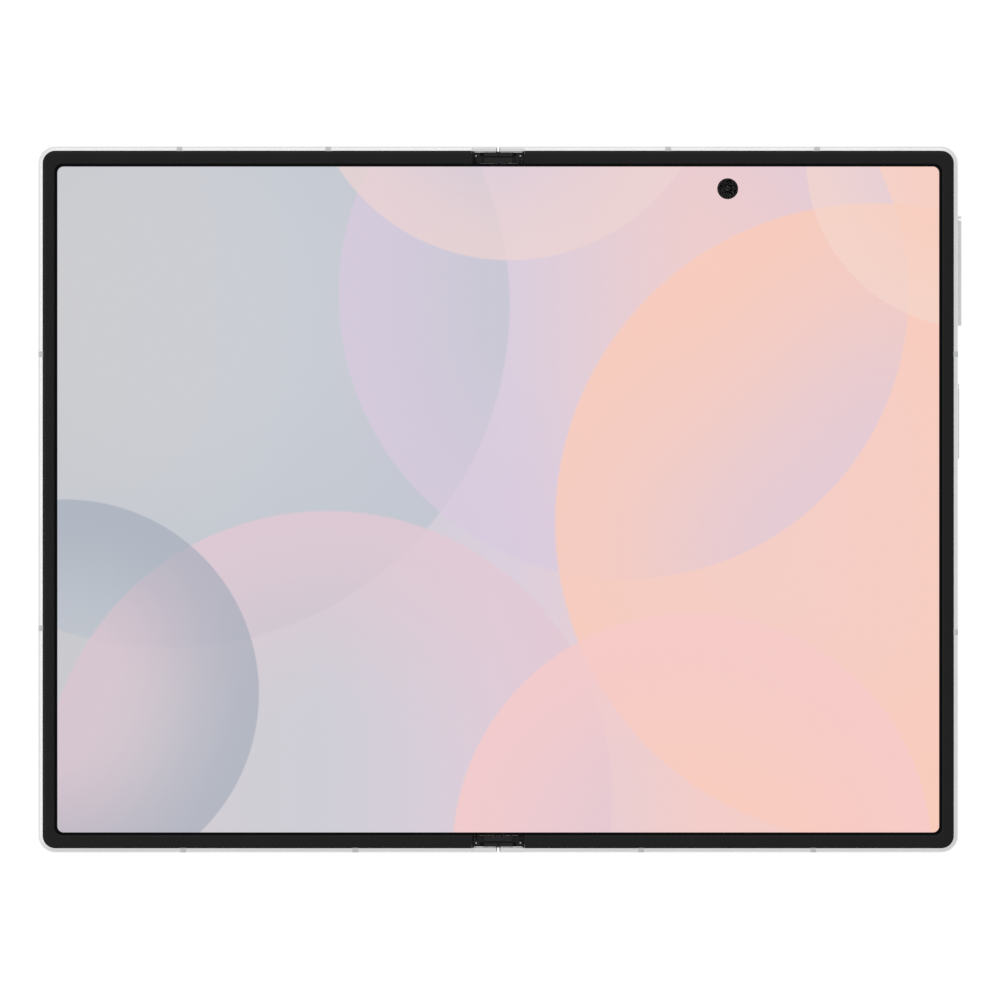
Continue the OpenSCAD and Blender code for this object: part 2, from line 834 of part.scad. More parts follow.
// The metal cage that the tray slides into
reader_wall = 0.6;
reader_roof = 0.15;
reader_side_gap = 0.1;
reader_end_gap = 0.4;
reader_low_gap = 0.05;
reader_top_gap = 0.1;
reader_in_x = [tray_x - carrier_w / 2 - reader_side_gap, tray_x + carrier_w / 2 + reader_side_gap];
reader_in_end = tray_depth - half_h + reader_end_gap;
reader_in_z = [tray_z - carrier_t / 2 - reader_low_gap, tray_z + carrier_t / 2 + reader_top_gap];
module card_reader()
    color(steel)
        on_left()
            difference() {
                slab([reader_in_x[0] - reader_wall, reader_in_x[1] + reader_wall],
                    [-cavity_y, reader_in_end + reader_wall],
                    [reader_in_z[0] - reader_roof, reader_in_z[1] + reader_roof]);
                slab(reader_in_x, [-cavity_y - through, reader_in_end], reader_in_z);
            }

// A ring sector about an axis along Y. Angles run from +X towards +Z
module sector_y(x, z, r, angles, y)
    translate([x, y[1], z])
        rotate([90, 0, 0])
            rotate([0, 0, angles[0]])
                rotate_extrude(angle = angles[1] - angles[0])
                    translate([r[0], 0])
                        square([r[1] - r[0], y[1] - y[0]]);

// The space inside the hinge cover, up to the flat top of the base
module spine_core(y)
    difference() {
        union() {
            slab([-axis_x, axis_x], y, [spine_floor, axis_z]);
            sector_y(-axis_x, axis_z, [0, cover_in_r], [180, 270], y);
            sector_y(axis_x, axis_z, [0, cover_in_r], [270, 360], y);
        }
        slab([-2 * cover_r, 2 * cover_r], [y[0] - through, y[1] + through], [spine_top, axis_z + through]);
    }

module hinge_cover()
    color(silver)
        difference() {
            union() {
                slab([-axis_x, axis_x], [-spine_h, spine_h], [axis_z - cover_r, spine_floor]);
                sector_y(-axis_x, axis_z, [cover_in_r, cover_r], [180, 270], [-spine_h, spine_h]);
                sector_y(axis_x, axis_z, [cover_in_r, cover_r], [270, 360], [-spine_h, spine_h]);
            }
            slab([-2 * cover_r, 2 * cover_r], [-spine_h - through, spine_h + through],
                [cover_lip_z, axis_z + through]);
        }

// Bulkheads that carry the gear pins and the fixed plate
bulkhead_post_w = 2;
module bulkhead(y) {
    spine_core(y);
    slab([-bulkhead_post_w / 2, bulkhead_post_w / 2], y, [spine_top - eps, plate_z]);
}

// The slot of one curved arm: a boss inside the arm and a wall outside it
module arm_guide(y) {
    difference() {
        spine_core(y);
        rod_y(-axis_x, [y[0] - through, y[1] + through], axis_z, cover_in_r);
    }
    sector_y(-axis_x, axis_z, [0, boss_r], [180, 360], y);
}

gear_places = [-gear_outer_x, -gear_inner_x, gear_inner_x, gear_outer_x];
pin_fit = 0.01;
base_strip_w = 2.2;
base_strip_t = 0.25;

module hinge_base()
    color(steel)
        hinge_modules()
            difference() {
                union() {
                    for (y = [0, slot_1 + slot_len, slot_2 + slot_len, gear_end])
                        bulkhead([y, y + bulkhead_t]);
                    arm_guide([slot_1, slot_1 + slot_len]);
                    on_left()
                        arm_guide([slot_2, slot_2 + slot_len]);
                    slab([-base_strip_w / 2, base_strip_w / 2], [arm_slot, gear_end],
                        [spine_floor, spine_floor + base_strip_t]);
                }
                for (x = gear_places)
                    rod_y(x, [arm_slot - bulkhead_t - through, module_len + through], gear_z, pin_r + pin_fit);
            }

module gear_pins()
    color(steel)
        hinge_modules()
            for (x = gear_places)
                rod_y(x, [arm_slot - bulkhead_t, module_len], gear_z, pin_r);

// Fixed plate under the fold, notched where the sync arms rise
plate_notch_x = 1.1;
plate_notch_side = 0.1;
module centre_plate()
    color(steel)
        difference() {
            slab([-centre_plate_w, centre_plate_w], [-fold_screen_y, fold_screen_y], [plate_z, display_z]);
            hinge_modules()
                for (side = [0, 1])
                    mirror([side, 0, 0])
                        slab([plate_notch_x, centre_plate_w + through],
                            [arm_slot - plate_notch_side, gear_slot + plate_notch_side],
                            [plate_z - through, display_z + through]);
        }

// Black moulding at each end of the hinge, split by a seam
cap_inner_w = 2.5;
cap_outer_w = 3.4;
cap_gap = 0.1;
cap_y = fold_screen_y + cap_gap;
cap_ridge_t = 1;
cap_ridge_rise = 0.75;
cap_front_t = 0.6;
cap_front_set = 0.15;
cap_front_rise = 0.35;
cap_front_sink = 0.2;
cap_seam_w = 0.16;
cap_front_outline = [
    [-cap_outer_w, spine_top - cap_front_sink],
    [cap_outer_w, spine_top - cap_front_sink],
    [cap_inner_w, axis_z + cap_front_rise],
    [-cap_inner_w, axis_z + cap_front_rise]
];
module hinge_end_caps()
    color(ink)
        top_and_bottom()
            difference() {
                union() {
                    spine_core([cap_y, spine_h]);
                    slab([-cap_inner_w, cap_inner_w], [cap_y, cap_y + cap_ridge_t],
                        [spine_top - eps, axis_z + cap_ridge_rise]);
                    extrude_y(cap_front_outline, [spine_h - cap_front_set - cap_front_t, spine_h - cap_front_set]);
                }
                slab([-cap_seam_w / 2, cap_seam_w / 2], [spine_h - cap_front_set - cap_front_t - eps, spine_h],
                    [axis_z, axis_z + through]);
            }

// Ribbon that carries the signals across the hinge, over the base and down under the mid plates
flex_w = 16;
flex_reach = 14;
flex_t = 0.12;
flex_end_t = 0.2;
flex_bend_w = 0.5;
flex_set_in = 0.2;
flex_lift = 0.1;
flex_sink = 0.5;
flex_x = fold_zone_w - flex_set_in;
flex_z = [spine_top + flex_lift, spine_top + flex_lift + flex_t];
flex_low_z = mid_z - flex_sink;
module hinge_flex()
    color(copper) {
        slab([-flex_x, flex_x], [-flex_w / 2, flex_w / 2], flex_z);
        for (side = [0, 1])
            mirror([side, 0, 0]) {
                slab([flex_x - flex_bend_w, flex_x], [-flex_w / 2, flex_w / 2], [flex_low_z, flex_z[1]]);
                slab([flex_x - flex_bend_w, flex_reach], [-flex_w / 2, flex_w / 2],
                    [flex_low_z, flex_low_z + flex_end_t]);
            }
    }

// Curved arm and its foot, which is screwed under the mid plate
arm_root = 0.1;
arm_angles = [210, 360];
module bracket(slot)
    hinge_modules()
        let (y = [slot + run_gap, slot + run_gap + ring_len])
            difference() {
                union() {
                    sector_y(axis_x, axis_z, [ring_in_r, ring_out_r], arm_angles, y);
                    slab([axis_x + ring_in_r + arm_root, fold_zone_w - arm_root], y,
                        [arm_top - arm_t, arm_top]);
                    slab([wing_pivot_x, foot_x + foot_w], y, [mid_z - foot_drop, mid_z]);
                }
                slab([0, axis_x + ring_out_r + through], [y[0] - through, y[1] + through],
                    [arm_top, axis_z + through]);
                for (screw_y = [slot + screw_inset, slot + slot_len - screw_inset])
                    disc(screw_x, screw_y, [mid_z - foot_drop - through, mid_z + through], screw_r);
            }

module bracket_screws(slot)
    hinge_modules()
        for (y = [slot + screw_inset, slot + slot_len - screw_inset]) {
            disc(screw_x, y, [mid_z - foot_drop - screw_head_t, plate_z], screw_r);
            disc(screw_x, y, [mid_z - foot_drop - screw_head_t, mid_z - foot_drop], screw_head_r);
        }

module left_brackets()
    color(steel)
        on_left()
            bracket(slot_1);

module right_brackets()
    color(steel)
        bracket(slot_2);

module left_screws()
    color(steel)
        on_left()
            bracket_screws(slot_1);

module right_screws()
    color(steel)
        bracket_screws(slot_2);

// One timing gear with straight-sided teeth, each given as [radius, share of the tooth pitch]
tooth_root_share = 0.3;
tooth_tip_share = 0.09;
tooth_shape = [
    [gear_root_r, -tooth_root_share],
    [gear_tip_r, -tooth_tip_share],
    [gear_tip_r, tooth_tip_share],
    [gear_root_r, tooth_root_share]
];
function gear_points(phase) = [
    for (i = [0:gear_teeth - 1])
        for (p = tooth_shape)
            let (a = (i + p[1]) * 360 / gear_teeth + phase)
                [p[0] * cos(a), p[0] * sin(a)]
];

module gear(x, phase, y)
    translate([x, y[1], gear_z])
        rotate([90, 0, 0])
            linear_extrude(y[1] - y[0])
                polygon(gear_points(phase));

half_tooth = 180 / gear_teeth;
gear_y = [gear_slot + run_gap, gear_slot + run_gap + gear_len];
arm_y = [arm_slot + run_gap, gear_slot + run_gap];

module idler_gear(x, phase)
    color(copper)
        hinge_modules()
            difference() {
                gear(x, phase, gear_y);
                rod_y(x, [gear_y[0] - through, gear_y[1] + through], gear_z, pin_r + gear_bore_gap);
            }

module idler_gear_left()
    idler_gear(-gear_inner_x, half_tooth);

module idler_gear_right()
    idler_gear(gear_inner_x, 0);

// Gear on the end of a flat arm that follows one half
module sync_arm(side, phase)
    color(steel)
        hinge_modules()
            difference() {
                union() {
                    gear(side * gear_outer_x, phase, gear_y);
                    rod_y(side * gear_outer_x, arm_y, gear_z, gear_root_r);
                    mirror([side < 0 ? 1 : 0, 0, 0]) {
                        slab([gear_outer_x - sync_arm_hub, gear_outer_x + sync_arm_hub], arm_y,
                            [gear_z, sync_arm_bottom + sync_arm_t]);
                        slab([gear_outer_x - sync_arm_hub, sync_reach], arm_y,
                            [sync_arm_bottom, sync_arm_bottom + sync_arm_t]);
                    }
                }
                rod_y(side * gear_outer_x, [arm_y[0] - through, gear_y[1] + through],
                    gear_z, pin_r + gear_bore_gap);
            }

module sync_arm_left()
    sync_arm(-1, 0);

module sync_arm_right()
    sync_arm(1, half_tooth);

// Plate that backs the bending screen and tips away as the halves close
module wing_plate(slot)
    color(steel) {
        difference() {
            slab([wing_edge_x, wing_pivot_x + wing_overhang], [-wing_y, wing_y], [plate_z, display_z]);
            hinge_modules()
                for (y = [[slot, slot + slot_len], [arm_slot, gear_slot]])
                    slab([0, wing_pivot_x - wing_pin_r], [y[0] - wing_slot_gap, y[1] + wing_slot_gap],
                        [plate_z - through, display_z + through]);
            slab([0, wing_pivot_x - wing_pin_r], [-flex_w / 2 - wing_slot_gap, flex_w / 2 + wing_slot_gap],
                [plate_z - through, display_z + through]);
        }
        top_and_bottom()
            rod_y(wing_pivot_x, [wing_y - wing_pin_l, wing_y + wing_pin_l], wing_pivot_z, wing_pin_r);
    }

module wing_plate_left()
    on_left()
        wing_plate(slot_1);

module wing_plate_right()
    wing_plate(slot_2);

// Rear cameras
island_r = 7;
lens_ledge = 0.7;
lens_bore_r = lens_ring_r - lens_ring_w - lens_ledge;
lens_cover_sink = 0.2;
flash_offset = 5.3;
flash_x = island_x + flash_offset;
flash_r = 1.5;
flash_sink = 0.05;

module camera_island()
    color(silver)
        difference() {
            round_slab([island_x - island_w / 2, island_x + island_w / 2],
                [island_y - island_l / 2, island_y + island_l / 2], [lens_ring_h, back_z], island_r);
            for (y = lens_y)
                disc(island_x, y, [0, back_z + through], lens_bore_r);
            disc(flash_x, island_y, [0, back_z + through], flash_r);
        }

module lens_rings()
    color(steel)
        for (y = lens_y)
            difference() {
                disc(island_x, y, [0, lens_ring_h], lens_ring_r);
                disc(island_x, y, [-through, lens_ring_h + through], lens_ring_r - lens_ring_w);
            }

module lens_covers()
    color(ink)
        for (y = lens_y)
            disc(island_x, y, [lens_cover_sink, lens_ring_h], lens_ring_r - lens_ring_w);

// A camera module: its barrel behind the lens cover, and its housing
barrel_gap = 0.1;
main_barrel_r = lens_bore_r * 0.93;
wide_barrel_r = lens_bore_r * 0.76;
wide_camera_half = 5;
module rear_camera(y, barrel_r, half)
    color(ink) {
        disc(island_x, y, [lens_ring_h + barrel_gap, cavity_z + glass_clear], barrel_r);
        slab([island_x - half, island_x + half], [y - half, y + half],
            [cavity_z + glass_clear - eps, mid_z - mid_gap]);
    }

module main_camera()
    rear_camera(lens_y[0], main_barrel_r, rear_camera_half);

module wide_camera()
    rear_camera(lens_y[1], wide_barrel_r, wide_camera_half);

module flash_window()
    color(window_white)
        disc(flash_x, island_y, [lens_ring_h + flash_sink, back_z], flash_r);

// The inner camera's barrel stands in the hole through the screen
inner_barrel_gap = 0.1;
inner_barrel_sink = 0.05;
inner_barrel_top = screen_z - film_t - inner_barrel_sink;
inner_barrel_foot = 0.3;
module inner_camera()
    color(ink) {
        disc(inner_camera_x, inner_camera_y, [mid_z - inner_barrel_foot, inner_barrel_top],
            inner_camera_r - inner_barrel_gap);
        slab([inner_camera_x - inner_camera_half, inner_camera_x + inner_camera_half],
            [inner_camera_y - inner_camera_half, inner_camera_y + inner_camera_half],
            [cavity_z + glass_clear, mid_z - mid_gap]);
    }

// Electronics of the right half
board_lift = 1.1;
board_z = cavity_z + board_lift;

module main_board()
    color(board_green)
        slab(board_x, board_y, [board_z, board_z + board_t]);

// Two shield cans on the side towards the screen and one towards the rear glass
can_inset = 2;
can_split = (board_x[0] + board_x[1]) / 2;
can_gap = 1;
connector_l = 6;
rear_can_inset = 3;
rear_can_gap = 0.2;
module shield_cans()
    color(steel) {
        slab([board_x[0] + can_inset, can_split - can_gap], [board_y[0] + can_inset, board_y[1] - can_inset],
            [board_z + board_t, mid_z - mid_gap]);
        slab([can_split + can_gap, board_x[1] - can_inset],
            [board_y[0] + can_inset, board_y[1] - can_inset - connector_l],
            [board_z + board_t, mid_z - mid_gap]);
        slab([board_x[0] + rear_can_inset, board_x[1] - rear_can_inset],
            [board_y[0] + rear_can_inset, board_y[1] - rear_can_inset], [cavity_z + rear_can_gap, board_z]);
    }

// Charging coil between the right battery and the rear glass
coil_t = 0.4;
coil_z = [cavity_z, cavity_z + coil_t];
coil_x = (right_battery_x[0] + right_battery_x[1]) / 2;
coil_r = (right_battery_x[1] - right_battery_x[0]) / 2 - coil_margin;
coil_y = (right_battery_y[0] + right_battery_y[1]) / 2;
module charging_coil()
    color(copper)
        difference() {
            disc(coil_x, coil_y, coil_z, coil_r);
            disc(coil_x, coil_y, [coil_z[0] - through, coil_z[1] + through], coil_r / 2);
        }

// Charging port: a shell set just inside the frame, closed at the back, and the tongue in it
usb_set_back = 0.2;
usb_back_t = 0.5;
tongue_w = 6.7;
tongue_l = 4.5;
tongue_t = 0.7;
module usb_shell()
    color(steel)
        difference() {
            pill_y(usb_x, usb_z, [usb_set_back - half_h, usb_l - half_h],
                usb_w + 2 * usb_wall, usb_h + 2 * usb_wall);
            pill_y(usb_x, usb_z, [-half_h - through, usb_l - half_h - usb_back_t], usb_w, usb_h);
        }

module usb_tongue()
    color(ink)
        slab([usb_x - tongue_w / 2, usb_x + tongue_w / 2],
            [usb_l - half_h - usb_back_t - tongue_l, usb_l - half_h - usb_back_t],
            [usb_z - tongue_t / 2, usb_z + tongue_t / 2]);

speaker_w = 13;
speaker_l = 10.7;
speaker_r = 1;
mesh_margin = 1;
mesh_t = 0.2;
mesh_h = 1.8;
module loudspeaker()
    color(ink)
        round_slab([speaker_x - mesh_margin, speaker_x - mesh_margin + speaker_w],
            [mesh_t + mid_gap - cavity_y, mesh_t + mid_gap + speaker_l - cavity_y],
            [cavity_z + glass_clear, mid_z - mid_gap], speaker_r);

module speaker_mesh()
    color(ink)
        slab([speaker_x - mesh_margin, speaker_x + (speaker_holes - 1) * hole_step + mesh_margin],
            [-cavity_y, mesh_t - cavity_y], [key_z - mesh_h / 2, key_z + mesh_h / 2]);

mic_w = 2.6;
mic_h = 1.2;
module microphones()
    color(steel)
        for (x = [mic_x, mic_x - mic_pitch])
            slab([x - mic_w / 2, x + mic_w / 2], [-cavity_y, mic_w - cavity_y],
                [key_z - mic_h / 2, key_z + mic_h / 2]);

// Keys along the outer edge, each with a flange that keeps it in its slot
flange_gap = 0.02;
flange_end = 0.8;
flange_side = 0.3;
flange_x = [cavity_x - flange_gap - key_flange, cavity_x - flange_gap];
module key(y, l, proud)
    color(silver) {
        pill_x([flange_x[1] - eps, half_w + proud], y, key_z, l, key_h);
        slab(flange_x, [y - l / 2 - flange_end, y + l / 2 + flange_end],
            [key_z - key_h / 2 - flange_side, key_z + key_h / 2 + flange_side]);
    }

module volume_key()
    key(volume_y, volume_l, volume_proud);

module power_key()
    key(power_y, power_l, power_proud);

switch_reach = 2.4;
switch_gap = 0.05;
switch_w = 3.2;
switch_h = 1.8;
module key_switches()
    color(steel)
        for (y = [volume_y - volume_l / 3, volume_y + volume_l / 3, power_y])
            slab([cavity_x - switch_reach, flange_x[0] - key_travel - switch_gap],
                [y - switch_w / 2, y + switch_w / 2], [key_z - switch_h / 2, key_z + switch_h / 2]);

left_frame();
left_bumper();
cover_glass();
cover_display();
cover_camera();
earpiece();
left_battery();
left_board();
left_magnets();
vibration_motor();
left_brackets();
left_screws();
left_screen_plate();
display_left();
left_antenna_breaks();
card_reader();
card_tray();
hinge_cover();
hinge_base();
hinge_end_caps();
centre_plate();
gear_pins();
hinge_flex();
display_fold_zone();
idler_gear_left();
idler_gear_right();
sync_arm_left();
sync_arm_right();
wing_plate_left();
wing_plate_right();
right_frame();
right_bumper();
rear_glass();
camera_island();
lens_rings();
lens_covers();
main_camera();
wide_camera();
flash_window();
inner_camera();
right_battery();
main_board();
shield_cans();
charging_coil();
right_magnets();
right_brackets();
right_screws();
right_screen_plate();
display_right();
right_antenna_breaks();
usb_shell();
usb_tongue();
loudspeaker();
speaker_mesh();
microphones();
key_switches();
volume_key();
power_key();
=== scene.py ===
import math
import bmesh
import bpy
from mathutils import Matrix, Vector


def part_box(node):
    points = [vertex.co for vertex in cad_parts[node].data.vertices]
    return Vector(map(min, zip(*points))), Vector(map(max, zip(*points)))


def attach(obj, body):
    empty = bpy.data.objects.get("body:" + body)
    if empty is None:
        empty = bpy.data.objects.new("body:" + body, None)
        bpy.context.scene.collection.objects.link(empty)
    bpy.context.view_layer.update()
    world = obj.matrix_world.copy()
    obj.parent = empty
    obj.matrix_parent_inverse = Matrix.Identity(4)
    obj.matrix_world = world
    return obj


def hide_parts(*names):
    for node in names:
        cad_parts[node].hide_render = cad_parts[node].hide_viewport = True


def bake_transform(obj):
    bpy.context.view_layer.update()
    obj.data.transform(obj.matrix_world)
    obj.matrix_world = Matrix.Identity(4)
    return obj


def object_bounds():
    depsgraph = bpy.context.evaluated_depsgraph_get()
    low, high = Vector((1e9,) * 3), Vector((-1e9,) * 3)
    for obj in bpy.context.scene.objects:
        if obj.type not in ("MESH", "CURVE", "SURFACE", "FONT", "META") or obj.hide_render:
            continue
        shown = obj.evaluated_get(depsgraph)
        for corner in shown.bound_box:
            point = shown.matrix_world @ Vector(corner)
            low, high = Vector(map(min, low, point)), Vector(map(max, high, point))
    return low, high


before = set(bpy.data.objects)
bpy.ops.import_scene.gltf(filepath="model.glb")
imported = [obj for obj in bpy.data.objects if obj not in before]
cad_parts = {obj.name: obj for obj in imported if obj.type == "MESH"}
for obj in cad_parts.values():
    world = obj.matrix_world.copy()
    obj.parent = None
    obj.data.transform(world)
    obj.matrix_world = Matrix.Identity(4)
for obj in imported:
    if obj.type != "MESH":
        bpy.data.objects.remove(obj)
cad_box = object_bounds()


# ---------------------------------------------------------------------------------------------
# Table, camera and light. The phone lies on its back on a plain white table and is seen from
# straight above through a long lens in a dark shade. Soft lamps stand to its left and behind it.
# ---------------------------------------------------------------------------------------------
MM = 0.001
photo_px = 1000
body_px = 919.5
centre_px = (498.25, 499.5)
key_overhang = 0.6 * MM
cad_low, cad_high = (Vector(corner) for corner in cad_box)
metres_per_px = (cad_high.x - cad_low.x - key_overhang) / body_px
camera_height = 1
camera_far = 10
table_size = 6
table_glow_share = 0.88
table_glow = 1.06
sky_reach = 1.2
sky_levels = (0.78, 1.02)
shade_cone = (math.cos(math.radians(5)), math.cos(math.radians(2.5)))
shade_level = 0.04
lamp_places = {"left_softbox": (-0.75, 0, 0.95), "rear_softbox": (0, 0.75, 0.95)}
lamp_size = 0.5
lamp_watts = 1.1


def linear(hex_colour):
    """A hex colour as shown on a screen, as linear light."""
    parts = [int(hex_colour[i:i + 2], 16) / 255 for i in (1, 3, 5)]
    return tuple(c / 12.92 if c <= 0.04045 else ((c + 0.055) / 1.055) ** 2.4 for c in parts) + (1,)


def add(tree, kind, inputs=None, **settings):
    """Adds a node. inputs gives each socket a value, an output, or a node for its first output."""
    made = tree.nodes.new(kind)
    for name, value in settings.items():
        setattr(made, name, value)
    for socket, value in (inputs or {}).items():
        if isinstance(value, bpy.types.Node):
            value = value.outputs[0]
        if isinstance(value, bpy.types.NodeSocket):
            tree.links.new(value, made.inputs[socket])
        else:
            made.inputs[socket].default_value = value
    return made


def new_material(name):
    """A material, its empty node tree, and the place on the object that its patterns are laid by."""
    made = bpy.data.materials.new(name)
    made.use_nodes = True
    made.node_tree.nodes.clear()
    return made, made.node_tree, add(made.node_tree, "ShaderNodeTexCoord").outputs["Object"]


camera_data = bpy.data.cameras.new("camera")
camera_data.type = "ORTHO"
camera_data.ortho_scale = photo_px * metres_per_px
camera_data.clip_end = camera_far
camera = bpy.data.objects.new("camera", camera_data)
camera.location = ((photo_px / 2 - centre_px[0]) * metres_per_px,
                   (centre_px[1] - photo_px / 2) * metres_per_px, camera_height)
bpy.context.scene.collection.objects.link(camera)
bpy.context.scene.camera = camera

# Matt white laminate: the eye gets an even white with a faint shadow. Seen from below it is clear.
laminate, tree, place = new_material("matt_white_laminate")
rays = add(tree, "ShaderNodeLightPath")
seen = add(tree, "ShaderNodeMath", {0: rays.outputs["Is Camera Ray"], 1: rays.outputs["Is Glossy Ray"]},
           operation="MAXIMUM")
seen = add(tree, "ShaderNodeMath", {0: seen, 1: rays.outputs["Is Transmission Ray"]}, operation="MAXIMUM")
share = add(tree, "ShaderNodeMath", {0: seen, 1: table_glow_share}, operation="MULTIPLY")
matt = add(tree, "ShaderNodeBsdfDiffuse", {"Color": linear("#F4F4F4")})
glow = add(tree, "ShaderNodeEmission", {"Color": linear("#FFFFFF"), "Strength": table_glow})
mixed = add(tree, "ShaderNodeMixShader", {0: share, 1: matt, 2: glow})
side = add(tree, "ShaderNodeNewGeometry")
clear = add(tree, "ShaderNodeBsdfTransparent")
sided = add(tree, "ShaderNodeMixShader", {0: side.outputs["Backfacing"], 1: mixed, 2: clear})
add(tree, "ShaderNodeOutputMaterial", {"Surface": sided})
bpy.ops.mesh.primitive_plane_add(size=table_size, location=(0, 0, cad_low.z))
table = bpy.context.object
table.name = "table"
table.data.materials.append(laminate)
table.visible_diffuse = False

# A soft white room, lighter behind and to the left, with the dark shade of the lens overhead.
world = bpy.data.worlds.new("studio")
world.use_nodes = True
bpy.context.scene.world = world
tree = world.node_tree
tree.nodes.clear()
heading = add(tree, "ShaderNodeTexCoord").outputs["Generated"]
axes = add(tree, "ShaderNodeSeparateXYZ", {0: heading})
slope = add(tree, "ShaderNodeMath", {0: axes.outputs["Y"], 1: axes.outputs["X"]}, operation="SUBTRACT")
level = add(tree, "ShaderNodeMapRange", {0: slope, 1: -sky_reach, 2: sky_reach, 3: sky_levels[0],
                                         4: sky_levels[1]})
shade = add(tree, "ShaderNodeMapRange", {0: axes.outputs["Z"], 1: shade_cone[0], 2: shade_cone[1], 3: 1.0,
                                         4: shade_level}, interpolation_type="SMOOTHSTEP")
level = add(tree, "ShaderNodeMath", {0: level, 1: shade}, operation="MULTIPLY")
rays = add(tree, "ShaderNodeLightPath")
level = add(tree, "ShaderNodeMix", {0: rays.outputs["Is Camera Ray"], 2: level, 3: 1.0})
sky = add(tree, "ShaderNodeBackground", {"Color": linear("#FFFFFF"), "Strength": level})
add(tree, "ShaderNodeOutputWorld", {"Surface": sky})

for name, lamp_place in lamp_places.items():
    lamp_data = bpy.data.lights.new(name, "AREA")
    lamp_data.size = lamp_size
    lamp_data.energy = lamp_watts
    lamp = bpy.data.objects.new(name, lamp_data)
    lamp.location = lamp_place
    lamp.rotation_euler = (-lamp.location).to_track_quat("-Z", "Y").to_euler()
    bpy.context.scene.collection.objects.link(lamp)
bpy.context.scene.view_settings.view_transform = "Standard"


# ---------------------------------------------------------------------------------------------
# Frames, hinge cover, keys and card tray. Milled from aluminium bar, bead blasted and anodised
# bright silver.
# ---------------------------------------------------------------------------------------------
blast_grit = 0.12 * MM
blast_depth = 0.02 * MM
rack_patch = 9 * MM
smooth_angle = math.radians(35)


def dress(names, material):
    """Gives CAD nodes their finish and soft shading over round faces."""
    for name in names:
        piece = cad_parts[name]
        piece.data.materials.clear()
        piece.data.materials.append(material)
        piece.data.shade_smooth()
        piece.data.set_sharp_from_angle(angle=smooth_angle)


# Blasted metal: a fine even grain and a soft, broad shine, with slightly clouded patches from the bath.
aluminium, tree, place = new_material("bead_blasted_anodised_aluminium")
grain = add(tree, "ShaderNodeTexNoise", {"Vector": place, "Scale": 1 / blast_grit})
patch = add(tree, "ShaderNodeTexNoise", {"Vector": place, "Scale": 1 / rack_patch})
tint = add(tree, "ShaderNodeMix", {0: patch, 6: linear("#DADADB"), 7: linear("#E4E4E5")},
           data_type="RGBA")
rough = add(tree, "ShaderNodeMapRange", {0: grain, 3: 0.3, 4: 0.42})
bump = add(tree, "ShaderNodeBump", {"Height": grain, "Strength": 0.15, "Distance": blast_depth})
shader = add(tree, "ShaderNodeBsdfPrincipled", {
    "Base Color": tint.outputs[2], "Metallic": 1.0, "Roughness": rough, "Normal": bump})
add(tree, "ShaderNodeOutputMaterial", {"Surface": shader})
dress(["left_frame", "right_frame", "hinge_cover", "volume_key", "power_key", "card_tray",
       "camera_island"], aluminium)


# ---------------------------------------------------------------------------------------------
# Antenna breaks. Glass-filled plastic, moulded into the cuts of the frame and machined flush
# with it, so that the radio's signal gets out.
# ---------------------------------------------------------------------------------------------
fibre_length = 0.25 * MM


def grained_material(name, grain_size, colours, roughness, finish=None):
    """A material whose grain runs between two colours, and between two roughnesses if it has a pair."""
    made, tree, place = new_material(name)
    grain = add(tree, "ShaderNodeTexNoise", {"Vector": place, "Scale": 1 / grain_size})
    tint = add(tree, "ShaderNodeMix", {0: grain, 6: linear(colours[0]), 7: linear(colours[1])},
               data_type="RGBA")
    if isinstance(roughness, tuple):
        roughness = add(tree, "ShaderNodeMapRange", {0: grain, 3: roughness[0], 4: roughness[1]})
    shader = add(tree, "ShaderNodeBsdfPrincipled", {
        "Base Color": tint.outputs[2], "Roughness": roughness, **(finish or {})})
    add(tree, "ShaderNodeOutputMaterial", {"Surface": shader})
    return made


# Filled plastic: a shade darker than the metal, dull, with faint specks of glass fibre.
fill = grained_material("machined_glass_filled_plastic", fibre_length, ("#B4B5B7", "#BFC0C2"), 0.5)
dress(["left_antenna_breaks", "right_antenna_breaks"], fill)


# ---------------------------------------------------------------------------------------------
# Hinge. Stamped and sintered steel parts run in the aluminium cover, with brass timing gears.
# The parts are pinned and screwed together, then greased.
# ---------------------------------------------------------------------------------------------
grind_line = 0.2 * MM
grind_stretch = 0.08
tarnish_size = 0.6 * MM

# Sintered and ground steel: greyer than the frame, with short grinding lines along the hinge.
steel, tree, place = new_material("ground_sintered_steel")
along = add(tree, "ShaderNodeVectorMath", {0: place, 1: (1, grind_stretch, 1)}, operation="MULTIPLY")
lines = add(tree, "ShaderNodeTexNoise", {"Vector": along, "Scale": 1 / grind_line, "Detail": 3.0})
tint = add(tree, "ShaderNodeMix", {0: lines, 6: linear("#A9A9AC"), 7: linear("#BBBBBE")},
           data_type="RGBA")
rough = add(tree, "ShaderNodeMapRange", {0: lines, 3: 0.25, 4: 0.4})
shader = add(tree, "ShaderNodeBsdfPrincipled", {
    "Base Color": tint.outputs[2], "Metallic": 1.0, "Roughness": rough})
add(tree, "ShaderNodeOutputMaterial", {"Surface": shader})
dress(["hinge_base", "centre_plate", "gear_pins", "left_brackets", "right_brackets", "left_screws",
       "right_screws", "sync_arm_left", "sync_arm_right", "wing_plate_left", "wing_plate_right",
       "left_screen_plate", "right_screen_plate"], steel)

# Machined brass: warm yellow and bright, a little clouded where it has begun to tarnish.
brass = grained_material("machined_brass", tarnish_size, ("#C8A45E", "#D9B870"), 0.28, {"Metallic": 1.0})
dress(["idler_gear_left", "idler_gear_right"], brass)


